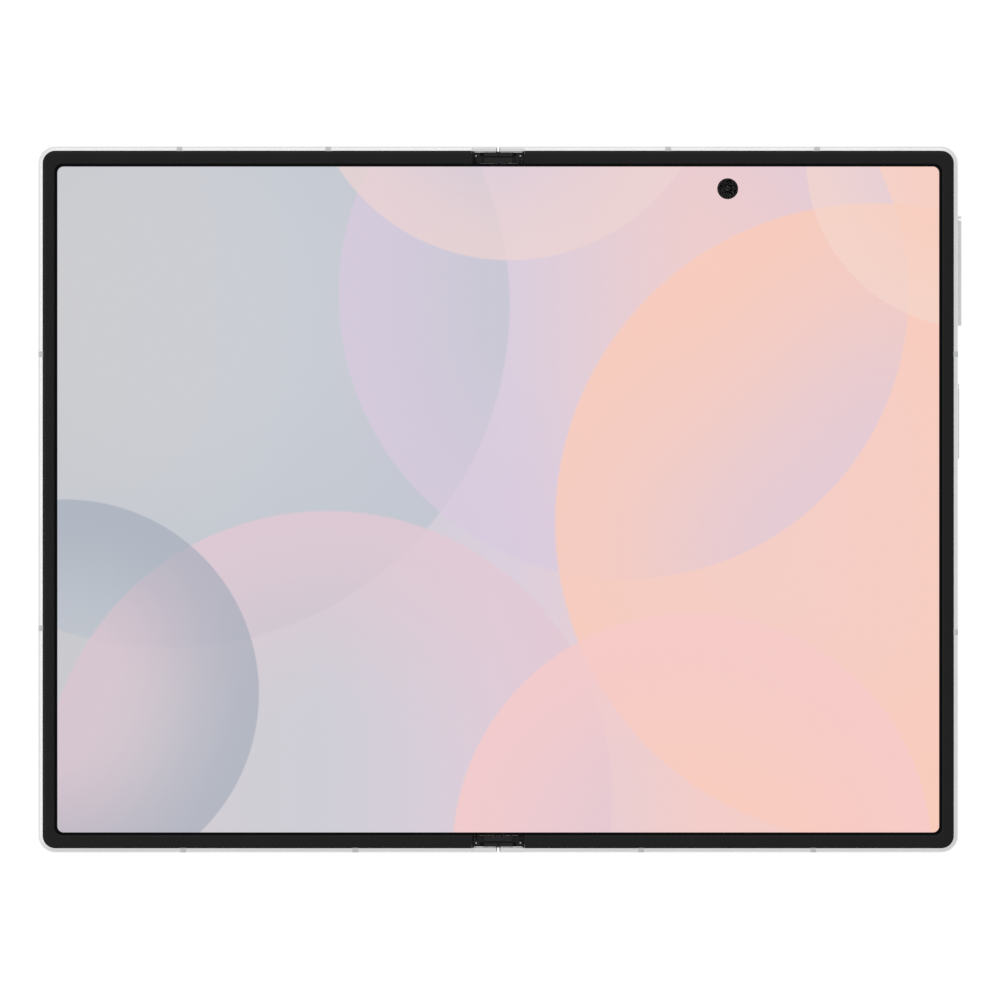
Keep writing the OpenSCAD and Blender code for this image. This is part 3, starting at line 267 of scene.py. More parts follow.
# ---------------------------------------------------------------------------------------------
# Hinge ends. A black moulding closes each end of the hinge. Black urethane blocks on the halves and
# two riveted black blocks over the cover's lip stand beside it as painted shade in the wells there.
# Thin end plates on the cover keep dust out beside it.
# ---------------------------------------------------------------------------------------------
mould_grit = 0.1 * MM
rubber_skin_depth = 0.02 * MM
rubber_bloom = 6 * MM
cap_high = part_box("hinge_end_caps")[1]
cover_low, cover_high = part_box("hinge_cover")
# Black blocks set as painted shade in the wells beside the hinge caps: one on each half's floor, one over
# the cover's lip.
floor_shade_x = (4.2 * MM, 5.35 * MM)
floor_shade_z = (4.34 * MM, 4.5 * MM)
floor_shade_y = (cap_high.y - 2.1 * MM, cover_high.y + 0.1 * MM)
lip_shade_x = (3.6 * MM, 4.14 * MM)
lip_shade_y = (floor_shade_y[0], cap_high.y - 0.12 * MM)
lip_shade_z = (cover_high.z, cover_high.z + 0.12 * MM)
rivet_place = (3.86 * MM, 60.3 * MM)
rivet_radius = 0.24 * MM
rivet_top = lip_shade_z[1] + 0.12 * MM
end_plate_x = (0.38 * MM, 4.3 * MM)
end_plate_y = (cap_high.y - 0.1 * MM, cap_high.y + 0.1 * MM)
end_plate_z = (cover_low.z + 0.5 * MM, 5.32 * MM)
floor_shade_edge = 0.05 * MM
lip_shade_edge = 0.03 * MM
end_plate_edge = 0.06 * MM
turn_steps = 64
rivet_steps = 24
ends = {"top": 1, "bottom": -1}
sides = {"right": 1, "left": -1}


def mesh_object(name, verts, faces, material):
    """A new object from corner points and faces, with shading that follows its round edges."""
    mesh = bpy.data.meshes.new(name)
    mesh.from_pydata(verts, [], faces)
    tidy = bmesh.new()
    tidy.from_mesh(mesh)
    bmesh.ops.remove_doubles(tidy, verts=tidy.verts, dist=1e-7)
    bmesh.ops.recalc_face_normals(tidy, faces=tidy.faces)
    tidy.to_mesh(mesh)
    tidy.free()
    mesh.shade_smooth()
    mesh.set_sharp_from_angle(angle=smooth_angle)
    mesh.materials.append(material)
    made = bpy.data.objects.new(name, mesh)
    bpy.context.scene.collection.objects.link(made)
    return made


def bevelled_box(name, low, high, bevel, material):
    """A block with rounded edges, between two opposite corners."""
    low, high = Vector(low), Vector(high)
    block = bmesh.new()
    bmesh.ops.create_cube(block, size=1)
    for vert in block.verts:
        vert.co = Vector((low[k] + (vert.co[k] + 0.5) * (high[k] - low[k]) for k in range(3)))
    bmesh.ops.bevel(block, geom=block.edges[:], offset=bevel, segments=3, profile=0.5, affect="EDGES")
    verts = [vert.co.copy() for vert in block.verts]
    faces = [tuple(vert.index for vert in face.verts) for face in block.faces]
    block.free()
    return mesh_object(name, verts, faces, material)


def lathe(name, middle, profile, material, steps=turn_steps):
    """A round piece about an upright axis, from (radius, height) points round its section."""
    verts, faces, rings = [], [], []
    for radius, height in profile:
        if radius == 0:
            rings.append([len(verts)])
            verts.append((middle[0], middle[1], height))
            continue
        rings.append(list(range(len(verts), len(verts) + steps)))
        for k in range(steps):
            a = 2 * math.pi * k / steps
            verts.append((middle[0] + radius * math.cos(a), middle[1] + radius * math.sin(a), height))
    for one, two in zip(rings, rings[1:]):
        for k in range(steps):
            face = [one[k % len(one)], one[(k + 1) % len(one)], two[(k + 1) % len(two)], two[k % len(two)]]
            faces.append(tuple(dict.fromkeys(face)))
    return mesh_object(name, verts, faces, material)


def dome(radius, low, high, steps=8):
    """Profile of a face that rises from low at its edge to high in its middle."""
    turns = [math.radians(90 * k / steps) for k in range(steps + 1)]
    return [(radius * math.sin(a), low + (high - low) * math.cos(a)) for a in turns]


def place_piece(piece, body, slot, *replaced):
    """The piece rides on a body and stands for the CAD nodes that follow. Its slot is not used."""
    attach(piece, body)
    if replaced:
        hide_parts(*replaced)


def corner_box(side, end, x, y, z):
    """Two opposite corners of a block given for the top right corner, moved to another corner."""
    xs, ys = sorted(side * value for value in x), sorted(end * value for value in y)
    return (xs[0], ys[0], z[0]), (xs[1], ys[1], z[1])


# Moulded polycarbonate: near black and slightly satin, with the fine grit of its steel mould.
moulded_black = grained_material("moulded_black_polycarbonate", mould_grit, ("#0B0B0C", "#121214"),
                                 (0.4, 0.5), {"IOR": 1.58, "Specular IOR Level": 0.2})
dress(["hinge_end_caps"], moulded_black)

# Moulded urethane rubber: matt charcoal with a very faint bloom, and a fine skin that breaks its shine.
urethane, tree, place = new_material("matt_moulded_urethane")
skin = add(tree, "ShaderNodeTexNoise", {"Vector": place, "Scale": 1 / mould_grit})
bloom = add(tree, "ShaderNodeTexNoise", {"Vector": place, "Scale": 1 / rubber_bloom})
tint = add(tree, "ShaderNodeMix", {0: bloom, 6: linear("#0D0D0E"), 7: linear("#121213")},
           data_type="RGBA")
bump = add(tree, "ShaderNodeBump", {"Height": skin, "Strength": 0.2, "Distance": rubber_skin_depth})
shader = add(tree, "ShaderNodeBsdfPrincipled", {
    "Base Color": tint.outputs[2], "Roughness": 0.42, "Specular IOR Level": 0.16, "Normal": bump})
add(tree, "ShaderNodeOutputMaterial", {"Surface": shader})

for end_name, end in ends.items():
    for side_name, side in sides.items():
        corner = f"{side_name}_{end_name}"
        # Painted shade: a black block on the half and a black block over the cover's lip darken the well.
        low, high = corner_box(side, end, floor_shade_x, floor_shade_y, floor_shade_z)
        floor_shade_block = bevelled_box(f"painted_floor_shade_{corner}", low, high, floor_shade_edge, urethane)
        place_piece(floor_shade_block, f"{side_name}_half", "black_part")
        low, high = corner_box(side, end, lip_shade_x, lip_shade_y, lip_shade_z)
        lip_shade_block = bevelled_box(f"painted_lip_shade_{corner}", low, high, lip_shade_edge, moulded_black)
        place_piece(lip_shade_block, "hinge_spine", "black_part")
        head = dome(rivet_radius, lip_shade_z[1], rivet_top) + [(rivet_radius, lip_shade_z[0]), (0, lip_shade_z[0])]
        rivet = lathe(f"cap_rivet_{corner}", (side * rivet_place[0], end * rivet_place[1]), head, steel,
                      rivet_steps)
        place_piece(rivet, "hinge_spine", "steel")
        low, high = corner_box(side, end, end_plate_x, end_plate_y, end_plate_z)
        plate = bevelled_box(f"hinge_end_plate_{corner}", low, high, end_plate_edge, aluminium)
        place_piece(plate, "hinge_spine", "frame_metal")


# ---------------------------------------------------------------------------------------------
# Ribbon cable. Copper tracks in amber polyimide film, laid across the hinge with slack, clamped
# under the screen plates of both halves.
# ---------------------------------------------------------------------------------------------
ribbon_low, ribbon_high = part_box("hinge_flex")
ribbon_thickness = 0.12 * MM
ribbon_step = 0.25 * MM
ribbon_flat_until = 6.25 * MM
ribbon_drop_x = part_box("wing_plate_right")[1].x + 0.2 * MM
track_pitch = 0.8 * MM
track_edge = (0.14 * MM, 0.2 * MM)


def loft(rings):
    """Points and faces of a closed tube through rings of equal length."""
    count = len(rings[0])
    verts = [point for ring in rings for point in ring]
    faces = [(i * count + k, i * count + (k + 1) % count,
              (i + 1) * count + (k + 1) % count, (i + 1) * count + k)
             for i in range(len(rings) - 1) for k in range(count)]
    faces.append(tuple(range(count)))
    faces.append(tuple((len(rings) - 1) * count + k for k in range(count)))
    return verts, faces


def ribbon_half(name, side, material):
    """Half of the ribbon: flat over the hinge, then down and out under the mid plate."""
    t, top, foot = ribbon_thickness, ribbon_high.z, ribbon_low.z + ribbon_thickness
    flat = [(ribbon_step * k, top) for k in range(round(ribbon_flat_until / ribbon_step) + 1)]
    upper = flat + [(ribbon_drop_x, top), (ribbon_drop_x, foot), (ribbon_high.x, foot)]
    lower = [(x, z - t) for x, z in flat] + [(ribbon_drop_x - t, top - t), (ribbon_drop_x - t, foot - t),
                                            (ribbon_high.x, foot - t)]
    rings = [[(side * x, y, z) for x, z in upper + lower[::-1]] for y in (ribbon_low.y, ribbon_high.y)]
    return mesh_object(name, *loft(rings), material)


# Polyimide over copper: glossy amber, lighter where the tracks lie under the film.
amber, tree, place = new_material("amber_polyimide_over_copper")
across = add(tree, "ShaderNodeSeparateXYZ", {0: place})
track = add(tree, "ShaderNodeMath", {0: across.outputs["Y"], 1: track_pitch / 2}, operation="PINGPONG")
track = add(tree, "ShaderNodeMapRange", {0: track, 1: track_edge[0], 2: track_edge[1]})
tint = add(tree, "ShaderNodeMix", {0: track, 6: linear("#A8672E"), 7: linear("#C4863F")}, data_type="RGBA")
shader = add(tree, "ShaderNodeBsdfPrincipled", {
    "Base Color": tint.outputs[2], "Roughness": 0.3, "Coat Weight": 0.4})
add(tree, "ShaderNodeOutputMaterial", {"Surface": shader})

for side_name, side in sides.items():
    ribbon = ribbon_half(f"ribbon_{side_name}", side, amber)
    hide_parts("hinge_flex")
    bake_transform(ribbon)


# ---------------------------------------------------------------------------------------------
# Charging port. A drawn steel shell is soldered to the lower edge of the main board. Its moulded
# tongue carries twelve gold plated contacts on each face.
# ---------------------------------------------------------------------------------------------
tongue_low, tongue_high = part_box("usb_tongue")
tongue_bevel = 0.12 * MM
contact_pitch = 0.5 * MM
contact_width = 0.28 * MM
contact_y = (tongue_low.y + 0.3 * MM, tongue_low.y + 3.2 * MM)
contact_proud = 0.02 * MM
contact_edge = 0.01 * MM
contacts_per_face = 12
plating_size = 0.2 * MM

# Hard gold plating: bright warm yellow, a little uneven.
gold = grained_material("hard_gold_plating", plating_size, ("#D8AE5A", "#E6C277"), 0.2,
                        {"Metallic": 1.0})

dress(["usb_shell"], steel)
tongue = bevelled_box("usb_tongue_blade", tongue_low, tongue_high, tongue_bevel, moulded_black)
place_piece(tongue, "right_half", "black_part", "usb_tongue")
for k in range(contacts_per_face):
    middle_x = (tongue_low.x + tongue_high.x) / 2 + (k - (contacts_per_face - 1) / 2) * contact_pitch
    for face, z in (("upper", tongue_high.z), ("lower", tongue_low.z)):
        contact = bevelled_box(f"usb_{face}_contact_{k + 1}",
                               (middle_x - contact_width / 2, contact_y[0], z - contact_proud),
                               (middle_x + contact_width / 2, contact_y[1], z + contact_proud),
                               contact_edge, gold)
        place_piece(contact, "right_half", "copper")


# ---------------------------------------------------------------------------------------------
# Sound parts and switches. Fine woven steel mesh stands behind the speaker holes and in the
# earpiece slot. The speaker, microphones and card reader are moulded, and the switches are domes.
# ---------------------------------------------------------------------------------------------
wire_pitch = 0.2 * MM
dome_grain = 0.1 * MM

# Woven steel mesh: dark, with a tight grid of small bright crossings. The pitch is twice the real one.
woven, tree, place = new_material("woven_steel_mesh")
axes = add(tree, "ShaderNodeSeparateXYZ", {0: place})
waves = []
for axis in ("X", "Z"):
    turns = add(tree, "ShaderNodeMath", {0: axes.outputs[axis], 1: math.pi / wire_pitch},
                operation="MULTIPLY")
    wave = add(tree, "ShaderNodeMath", {0: turns}, operation="SINE")
    waves.append(add(tree, "ShaderNodeMath", {0: wave}, operation="ABSOLUTE").outputs[0])
wires = add(tree, "ShaderNodeMath", {0: waves[0], 1: waves[1]}, operation="MAXIMUM")
over = add(tree, "ShaderNodeMapRange", {0: wires, 1: 0.6, 2: 0.95})
tint = add(tree, "ShaderNodeMix", {0: over, 6: linear("#1A1A1B"), 7: linear("#88888B")}, data_type="RGBA")
bump = add(tree, "ShaderNodeBump", {"Height": wires, "Strength": 0.8, "Distance": 0.05 * MM})
shader = add(tree, "ShaderNodeBsdfPrincipled", {
    "Base Color": tint.outputs[2], "Metallic": 0.6, "Roughness": 0.4, "Normal": bump})
add(tree, "ShaderNodeOutputMaterial", {"Surface": shader})
dress(["speaker_mesh", "earpiece"], woven)
dress(["loudspeaker", "microphones", "card_reader"], moulded_black)

# Pressed stainless steel: clean and bright with a satin skin.
snap_steel = grained_material("pressed_stainless_steel", dome_grain, ("#C3C3C6", "#CDCDD0"), (0.2, 0.3),
                              {"Metallic": 1.0})
dress(["key_switches"], snap_steel)


# ---------------------------------------------------------------------------------------------
# Batteries, boards, coil, magnets and motor. The cells are pouches held by adhesive. The boards
# are laminate under soldered cans, and the coil is wound wire on a ferrite sheet.
# ---------------------------------------------------------------------------------------------
crumple_size = 4 * MM
pad_spacing = 2.2 * MM
plating_bloom = 3 * MM
magnet_grain = 0.5 * MM
wire_turn = 0.55 * MM
coil_low, coil_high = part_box("charging_coil")
coil_middle = ((coil_low.x + coil_high.x) / 2, (coil_low.y + coil_high.y) / 2, 0)

# Laminated pouch film: dark grey and slightly shiny, softly crumpled over the cell.
pouch, tree, place = new_material("laminated_pouch_film")
crumple = add(tree, "ShaderNodeTexNoise", {"Vector": place, "Scale": 1 / crumple_size, "Detail": 3.0})
tint = add(tree, "ShaderNodeMix", {0: crumple, 6: linear("#1B1C1F"), 7: linear("#26272B")},
           data_type="RGBA")
bump = add(tree, "ShaderNodeBump", {"Height": crumple, "Strength": 0.3, "Distance": 0.1 * MM})
shader = add(tree, "ShaderNodeBsdfPrincipled", {
    "Base Color": tint.outputs[2], "Roughness": 0.35, "Normal": bump})
add(tree, "ShaderNodeOutputMaterial", {"Surface": shader})
dress(["left_battery", "right_battery"], pouch)

# Solder-masked laminate: satin black, dotted with pale gilded pads.
masked, tree, place = new_material("solder_masked_laminate")
pads = add(tree, "ShaderNodeTexVoronoi", {"Vector": place, "Scale": 1 / pad_spacing},
           distance="CHEBYCHEV")
beside = add(tree, "ShaderNodeMapRange", {0: pads.outputs["Distance"], 1: 0.12, 2: 0.14})
tint = add(tree, "ShaderNodeMix", {0: beside, 6: linear("#C8B27A"), 7: linear("#12161A")},
           data_type="RGBA")
shader = add(tree, "ShaderNodeBsdfPrincipled", {"Base Color": tint.outputs[2], "Roughness": 0.35})
add(tree, "ShaderNodeOutputMaterial", {"Surface": shader})
dress(["left_board", "main_board"], masked)

# Tin-plated steel sheet: soft grey shine in broad uneven patches.
tinned = grained_material("tin_plated_steel_sheet", plating_bloom, ("#B3B4B7", "#BFC0C3"), (0.28, 0.42),
                          {"Metallic": 1.0})
dress(["shield_cans", "vibration_motor"], tinned)

# Nickel-plated magnet: bright and faintly yellow.
nickel = grained_material("nickel_plated_magnet", magnet_grain, ("#CCC8C0", "#D4D1CA"), (0.12, 0.2),
                          {"Metallic": 1.0})
dress(["left_magnets", "right_magnets"], nickel)

# Wound enamelled wire: copper rings round the coil's middle, with painted shade in the grooves between
# turns.
wound, tree, place = new_material("wound_enamelled_copper")
level = add(tree, "ShaderNodeVectorMath", {0: place, 1: (1, 1, 0)}, operation="MULTIPLY")
away = add(tree, "ShaderNodeVectorMath", {0: level, 1: coil_middle}, operation="DISTANCE")
turn = add(tree, "ShaderNodeMath", {0: away.outputs["Value"], 1: wire_turn / 2}, operation="PINGPONG")
groove_depth_and_shade = add(tree, "ShaderNodeMapRange", {0: turn, 2: wire_turn / 2})
tint = add(tree, "ShaderNodeMix", {0: groove_depth_and_shade, 6: linear("#6E3A1E"), 7: linear("#C07A45")},
           data_type="RGBA")
bump = add(tree, "ShaderNodeBump", {"Height": groove_depth_and_shade, "Strength": 0.6, "Distance": 0.1 * MM})
shader = add(tree, "ShaderNodeBsdfPrincipled", {
    "Base Color": tint.outputs[2], "Metallic": 0.7, "Roughness": 0.3, "Normal": bump})
add(tree, "ShaderNodeOutputMaterial", {"Surface": shader})
dress(["charging_coil"], wound)


# ---------------------------------------------------------------------------------------------
# Rear cameras. Each barrel of glass elements stands in the milled island, under a sapphire disc
# printed black round its opening, with a polished steel ring pressed over the joint.
# ---------------------------------------------------------------------------------------------
ring_low, ring_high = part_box("lens_rings")
disc_low, disc_high = (corner.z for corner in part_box("lens_covers"))
lens_x = (ring_low.x + ring_high.x) / 2
ring_radius = (ring_high.x - ring_low.x) / 2
ring_fillet = 0.18 * MM
fillet_steps = 5
disc_radius = ring_radius - 1.1 * MM
disc_chamfer = 0.1 * MM
disc_back = disc_high - 0.05 * MM
ring_bore = disc_radius + 0.01 * MM
ring_lip = disc_radius + 0.12 * MM
ring_chamfer = 0.12 * MM
print_radius = disc_radius - 0.02 * MM
print_z = (disc_high - 0.04 * MM, disc_high - 0.01 * MM)
lens_barrel_radius = disc_radius - 0.8 * MM
barrel_front = disc_high + 0.12 * MM
barrel_end = disc_high + 2.2 * MM
element_depth = disc_high + 1.5 * MM
element_share = 0.68
element_rim = element_depth - 0.3 * MM
element_crown = element_depth - 0.75 * MM
element_back = element_depth + 0.1 * MM
housing_edge = 0.2 * MM
turning_line = 0.08 * MM
haze_size = 2 * MM
ink_speck = 0.3 * MM
# Steps in a barrel: share of the opening, and height over the element's seat.
barrel_steps = ((0.55, 0), (0.7, 0.45 * MM), (0.72, 0.5 * MM), (0.88, 0.95 * MM), (0.9, MM))
# Each camera's place along the phone, its opening's radius and half the width of its housing.
lens_spots = {
    "main": (ring_high.y - ring_radius, 3.1 * MM, 6 * MM),
    "wide": (ring_low.y + ring_radius, 2.2 * MM, 5 * MM),
}

# Polished steel: mirror bright, with the finest turning marks.
polished = grained_material("polished_stainless_steel", turning_line, ("#C6C6C9", "#D0D0D3"), (0.1, 0.18),
                            {"Metallic": 1.0})

# Polished sapphire: quite clear, with a stronger reflection than glass.
sapphire = grained_material("polished_clear_sapphire", haze_size, ("#F4F6F8", "#FFFFFF"), 0.02,
                            {"IOR": 1.76, "Transmission Weight": 1.0})

# Screen-printed black ink under glass: deep black with a wet shine and barely seen specks.
black_print = grained_material("black_ink_under_glass", ink_speck, ("#08080A", "#0C0C0E"), 0.08,
                               {"IOR": 1.5})

# Coated lens glass: almost black face on, with a painted violet reflection of its coating towards its rim.
lens_glass, tree, place = new_material("coated_lens_glass")
facing = add(tree, "ShaderNodeLayerWeight", {"Blend": 0.35})
tint = add(tree, "ShaderNodeMix", {0: facing.outputs["Facing"], 6: linear("#0B0D16"),
                                   7: linear("#221A3A")}, data_type="RGBA")
shader = add(tree, "ShaderNodeBsdfPrincipled", {
    "Base Color": tint.outputs[2], "Roughness": 0.05, "IOR": 1.6, "Specular IOR Level": 0.2})
add(tree, "ShaderNodeOutputMaterial", {"Surface": shader})

for name, (lens_y, opening, housing_half) in lens_spots.items():
    middle = (lens_x, lens_y)
    turns = [math.radians(90 * k / fillet_steps) for k in range(fillet_steps + 1)]
    rim = [(ring_radius - ring_fillet * (1 - math.cos(a)), ring_low.z + ring_fillet * (1 - math.sin(a)))
           for a in turns]
    ring = lathe(f"{name}_lens_ring", middle, [(ring_radius, ring_high.z)] + rim + [
        (ring_lip, ring_low.z), (ring_bore, ring_low.z + ring_chamfer), (ring_bore, ring_high.z),
        (ring_radius, ring_high.z)], polished)
    place_piece(ring, "right_half", "steel", "lens_rings")
    disc = lathe(f"{name}_lens_disc", middle, [
        (0, disc_low), (disc_radius - disc_chamfer, disc_low), (disc_radius, disc_low + disc_chamfer),
        (disc_radius, disc_back), (0, disc_back)], sapphire)
    place_piece(disc, "right_half", "camera_glass", "lens_covers")
    ink = lathe(f"{name}_lens_print", middle, [
        (opening, print_z[0]), (print_radius, print_z[0]), (print_radius, print_z[1]),
        (opening, print_z[1]), (opening, print_z[0])], black_print)
    place_piece(ink, "right_half", "camera_glass")
    steps = [(opening * share, element_depth - rise) for share, rise in barrel_steps]
    barrel = lathe(f"{name}_lens_barrel", middle, steps + [
        (opening, barrel_front), (lens_barrel_radius, barrel_front), (lens_barrel_radius, barrel_end),
        (0, barrel_end)], moulded_black)
    place_piece(barrel, "right_half", "black_part", f"{name}_camera")
    element_radius = opening * element_share
    element = lathe(f"{name}_lens_element", middle, dome(element_radius, element_rim, element_crown) + [
        (element_radius, element_back), (0, element_back)], lens_glass)
    place_piece(element, "right_half", "camera_glass")
    housing_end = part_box(f"{name}_camera")[1].z
    housing = bevelled_box(f"{name}_camera_housing",
                           (lens_x - housing_half, lens_y - housing_half, barrel_end),
                           (lens_x + housing_half, lens_y + housing_half, housing_end),
                           housing_edge, moulded_black)
    place_piece(housing, "right_half", "black_part")


# ---------------------------------------------------------------------------------------------
# Flash window. A ribbed acrylic disc, pressed into the island, spreads the light of the yellow
# lamp behind it.
# ---------------------------------------------------------------------------------------------
flash_low, flash_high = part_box("flash_window")
flash_middle = ((flash_low.x + flash_high.x) / 2, (flash_low.y + flash_high.y) / 2)
flash_radius = (flash_high.x - flash_low.x) / 2
rib_count = 7
rib_depth = 0.06 * MM
rib_lean = 0.4
glow_radius = (0.35 * MM, 0.8 * MM)

# Moulded acrylic: creamy white and shiny, deeper yellow in front of the lamp.
acrylic, tree, place = new_material("ribbed_moulded_acrylic")
away = add(tree, "ShaderNodeVectorMath", {0: place, 1: (*flash_middle, flash_low.z)},
           operation="DISTANCE")
past = add(tree, "ShaderNodeMapRange", {0: away.outputs["Value"], 1: glow_radius[0], 2: glow_radius[1]})
tint = add(tree, "ShaderNodeMix", {0: past, 6: linear("#E8D27A"), 7: linear("#F1EEDF")}, data_type="RGBA")
shader = add(tree, "ShaderNodeBsdfPrincipled", {
    "Base Color": tint.outputs[2], "Roughness": 0.12, "IOR": 1.49})
add(tree, "ShaderNodeOutputMaterial", {"Surface": shader})

ribs = [(0, flash_low.z)]
for k in range(1, rib_count + 1):
    ribs += [((k - rib_lean) * flash_radius / rib_count, flash_low.z + rib_depth),
             (k * flash_radius / rib_count, flash_low.z)]
flash = lathe("flash_window_disc", flash_middle,
              ribs + [(flash_radius, flash_high.z), (0, flash_high.z)], acrylic)
place_piece(flash, "right_half", "flash", "flash_window")


# ---------------------------------------------------------------------------------------------
# Rear glass. The back of the right half is toughened glass, etched to a fine frost and coated
# white behind, bonded into the frame round the camera island.
# ---------------------------------------------------------------------------------------------
etch_size = 0.05 * MM
cloud_size = 25 * MM

# Etched glass over white: pale grey and silky, with a very soft shine.
frosted, tree, place = new_material("etched_glass_over_white_coat")
etch = add(tree, "ShaderNodeTexNoise", {"Vector": place, "Scale": 1 / etch_size})
cloud = add(tree, "ShaderNodeTexNoise", {"Vector": place, "Scale": 1 / cloud_size})
tint = add(tree, "ShaderNodeMix", {0: cloud, 6: linear("#DCDCDD"), 7: linear("#E3E3E4")},
           data_type="RGBA")
rough = add(tree, "ShaderNodeMapRange", {0: etch, 3: 0.34, 4: 0.46})
shader = add(tree, "ShaderNodeBsdfPrincipled", {
    "Base Color": tint.outputs[2], "Roughness": rough, "IOR": 1.5})
add(tree, "ShaderNodeOutputMaterial", {"Surface": shader})
dress(["rear_glass"], frosted)


# ---------------------------------------------------------------------------------------------
# Cover glass, cover screen and cover camera. The back of the left half is one sheet of glass,
# printed black round a dark screen bonded behind it, and left clear over a small camera.
# ---------------------------------------------------------------------------------------------
cover_glass_low, cover_glass_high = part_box("cover_glass")
cover_screen_low, cover_screen_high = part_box("cover_display")
selfie_low, selfie_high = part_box("cover_camera")
selfie_middle = ((selfie_low.x + selfie_high.x) / 2, (selfie_low.y + selfie_high.y) / 2)
selfie_radius = 1.9 * MM
selfie_window = 1.75 * MM
selfie_back = cover_glass_high.z + 0.9 * MM
# Steps in the cover camera's barrel: radius, and depth behind the glass, in millimetres.
selfie_steps = ((0.6, 0.55), (0.9, 0.25), (0.95, 0.25), (1.3, 0.05), (1.9, 0.02))
selfie_lens_radius = 0.75 * MM
selfie_rim, selfie_crown, selfie_foot = (cover_glass_high.z + depth * MM for depth in (0.5, 0.28, 0.8))
small_housing_edge = 0.15 * MM
print_blur = 0.05 * MM
glass_corner = 2 * MM
glass_edge = 0.12 * MM
window_gap = 0.01 * MM
window_depth = 0.25 * MM


def rounded_outline(low, high, radius, square_side, steps=8):
    """Points round a plate. The corners on the side of X with the sign square_side stay square."""
    points = []
    for k, (sx, sy) in enumerate(((1, 1), (-1, 1), (-1, -1), (1, -1))):
        x, y = (high.x if sx > 0 else low.x), (high.y if sy > 0 else low.y)
        if sx == square_side:
            points.append((x, y))
            continue
        for step in range(steps + 1):
            a = math.radians(90 * k + 90 * step / steps)
            points.append((x - sx * radius + radius * math.cos(a),
                           y - sy * radius + radius * math.sin(a)))
    return points


def glass_sheet(name, outline, low, high, edge, material):
    """A flat sheet with ground edges, from its outline and its two heights."""
    middle_x = sum(x for x, y in outline) / len(outline)
    middle_y = sum(y for x, y in outline) / len(outline)
    rings = [[(x - math.copysign(inset, x - middle_x), y - math.copysign(inset, y - middle_y), z)
              for x, y in outline]
             for inset, z in ((edge, low), (0, low + edge), (0, high - edge), (edge, high))]
    return mesh_object(name, *loft(rings), material)


def cut_round_hole(piece, middle, radius, low, high):
    """Drills an upright hole through a piece."""
    bpy.ops.mesh.primitive_cylinder_add(vertices=turn_steps, radius=radius, depth=high - low,
                                        location=(*middle, (high + low) / 2))
    drill = bpy.context.object
    cut = piece.modifiers.new("hole", "BOOLEAN")
    cut.object = drill
    cut.operation = "DIFFERENCE"
    cut.solver = "EXACT"
    bpy.context.view_layer.objects.active = piece
    bpy.ops.object.modifier_apply(modifier=cut.name)
    bpy.data.objects.remove(drill)


def past_square_part(tree, point, middle, square_half):
    """How far a point is past the square part of a round-cornered plate. Its edge is a radius away."""
    off = add(tree, "ShaderNodeVectorMath", {0: point, 1: middle}, operation="SUBTRACT")
    off = add(tree, "ShaderNodeVectorMath", {0: off}, operation="ABSOLUTE")
    off = add(tree, "ShaderNodeVectorMath", {0: off, 1: square_half}, operation="SUBTRACT")
    off = add(tree, "ShaderNodeVectorMath", {0: off, 1: (0, 0, 0)}, operation="MAXIMUM")
    return add(tree, "ShaderNodeVectorMath", {0: off}, operation="LENGTH").outputs["Value"]


# Black-printed glass: a deep black mirror. The sleeping screen shows a hair greyer than the print.
printed_glass, tree, place = new_material("black_printed_polished_glass")
screen_middle = (cover_screen_low + cover_screen_high) / 2
screen_half = (cover_screen_high - cover_screen_low) / 2 - Vector((glass_corner, glass_corner, -MM))
off = past_square_part(tree, place, screen_middle, screen_half)
printed = add(tree, "ShaderNodeMapRange", {0: off, 1: glass_corner - print_blur,
                                           2: glass_corner + print_blur})
tint = add(tree, "ShaderNodeMix", {0: printed, 6: linear("#0E0E11"), 7: linear("#060607")},
           data_type="RGBA")
shader = add(tree, "ShaderNodeBsdfPrincipled", {
    "Base Color": tint.outputs[2], "Roughness": 0.04, "IOR": 1.5})
add(tree, "ShaderNodeOutputMaterial", {"Surface": shader})

outline = rounded_outline(cover_glass_low, cover_glass_high, glass_corner, 1)
sheet = glass_sheet("cover_glass_sheet", outline, cover_glass_low.z, cover_glass_high.z, glass_edge,
                    printed_glass)
cut_round_hole(sheet, selfie_middle, selfie_window, cover_glass_low.z - MM, cover_glass_high.z + MM)
place_piece(sheet, "left_half", "cover_glass", "cover_glass")
window = lathe("cover_camera_window", selfie_middle, [
    (0, cover_glass_low.z), (selfie_window - window_gap, cover_glass_low.z),
    (selfie_window - window_gap, cover_glass_low.z + window_depth),
    (0, cover_glass_low.z + window_depth)], sapphire)
place_piece(window, "left_half", "camera_glass")
barrel = lathe("cover_camera_barrel", selfie_middle,
               [(radius * MM, cover_glass_high.z + depth * MM) for radius, depth in selfie_steps]
               + [(selfie_radius, selfie_back), (0, selfie_back)], moulded_black)
place_piece(barrel, "left_half", "black_part", "cover_camera")
lens = lathe("cover_camera_lens", selfie_middle, dome(selfie_lens_radius, selfie_rim, selfie_crown) + [
    (selfie_lens_radius, selfie_foot), (0, selfie_foot)], lens_glass)
place_piece(lens, "left_half", "camera_glass")
housing = bevelled_box("cover_camera_housing", (selfie_low.x, selfie_low.y, selfie_back), selfie_high,
                       small_housing_edge, moulded_black)
place_piece(housing, "left_half", "black_part")
dress(["cover_display"], black_print)


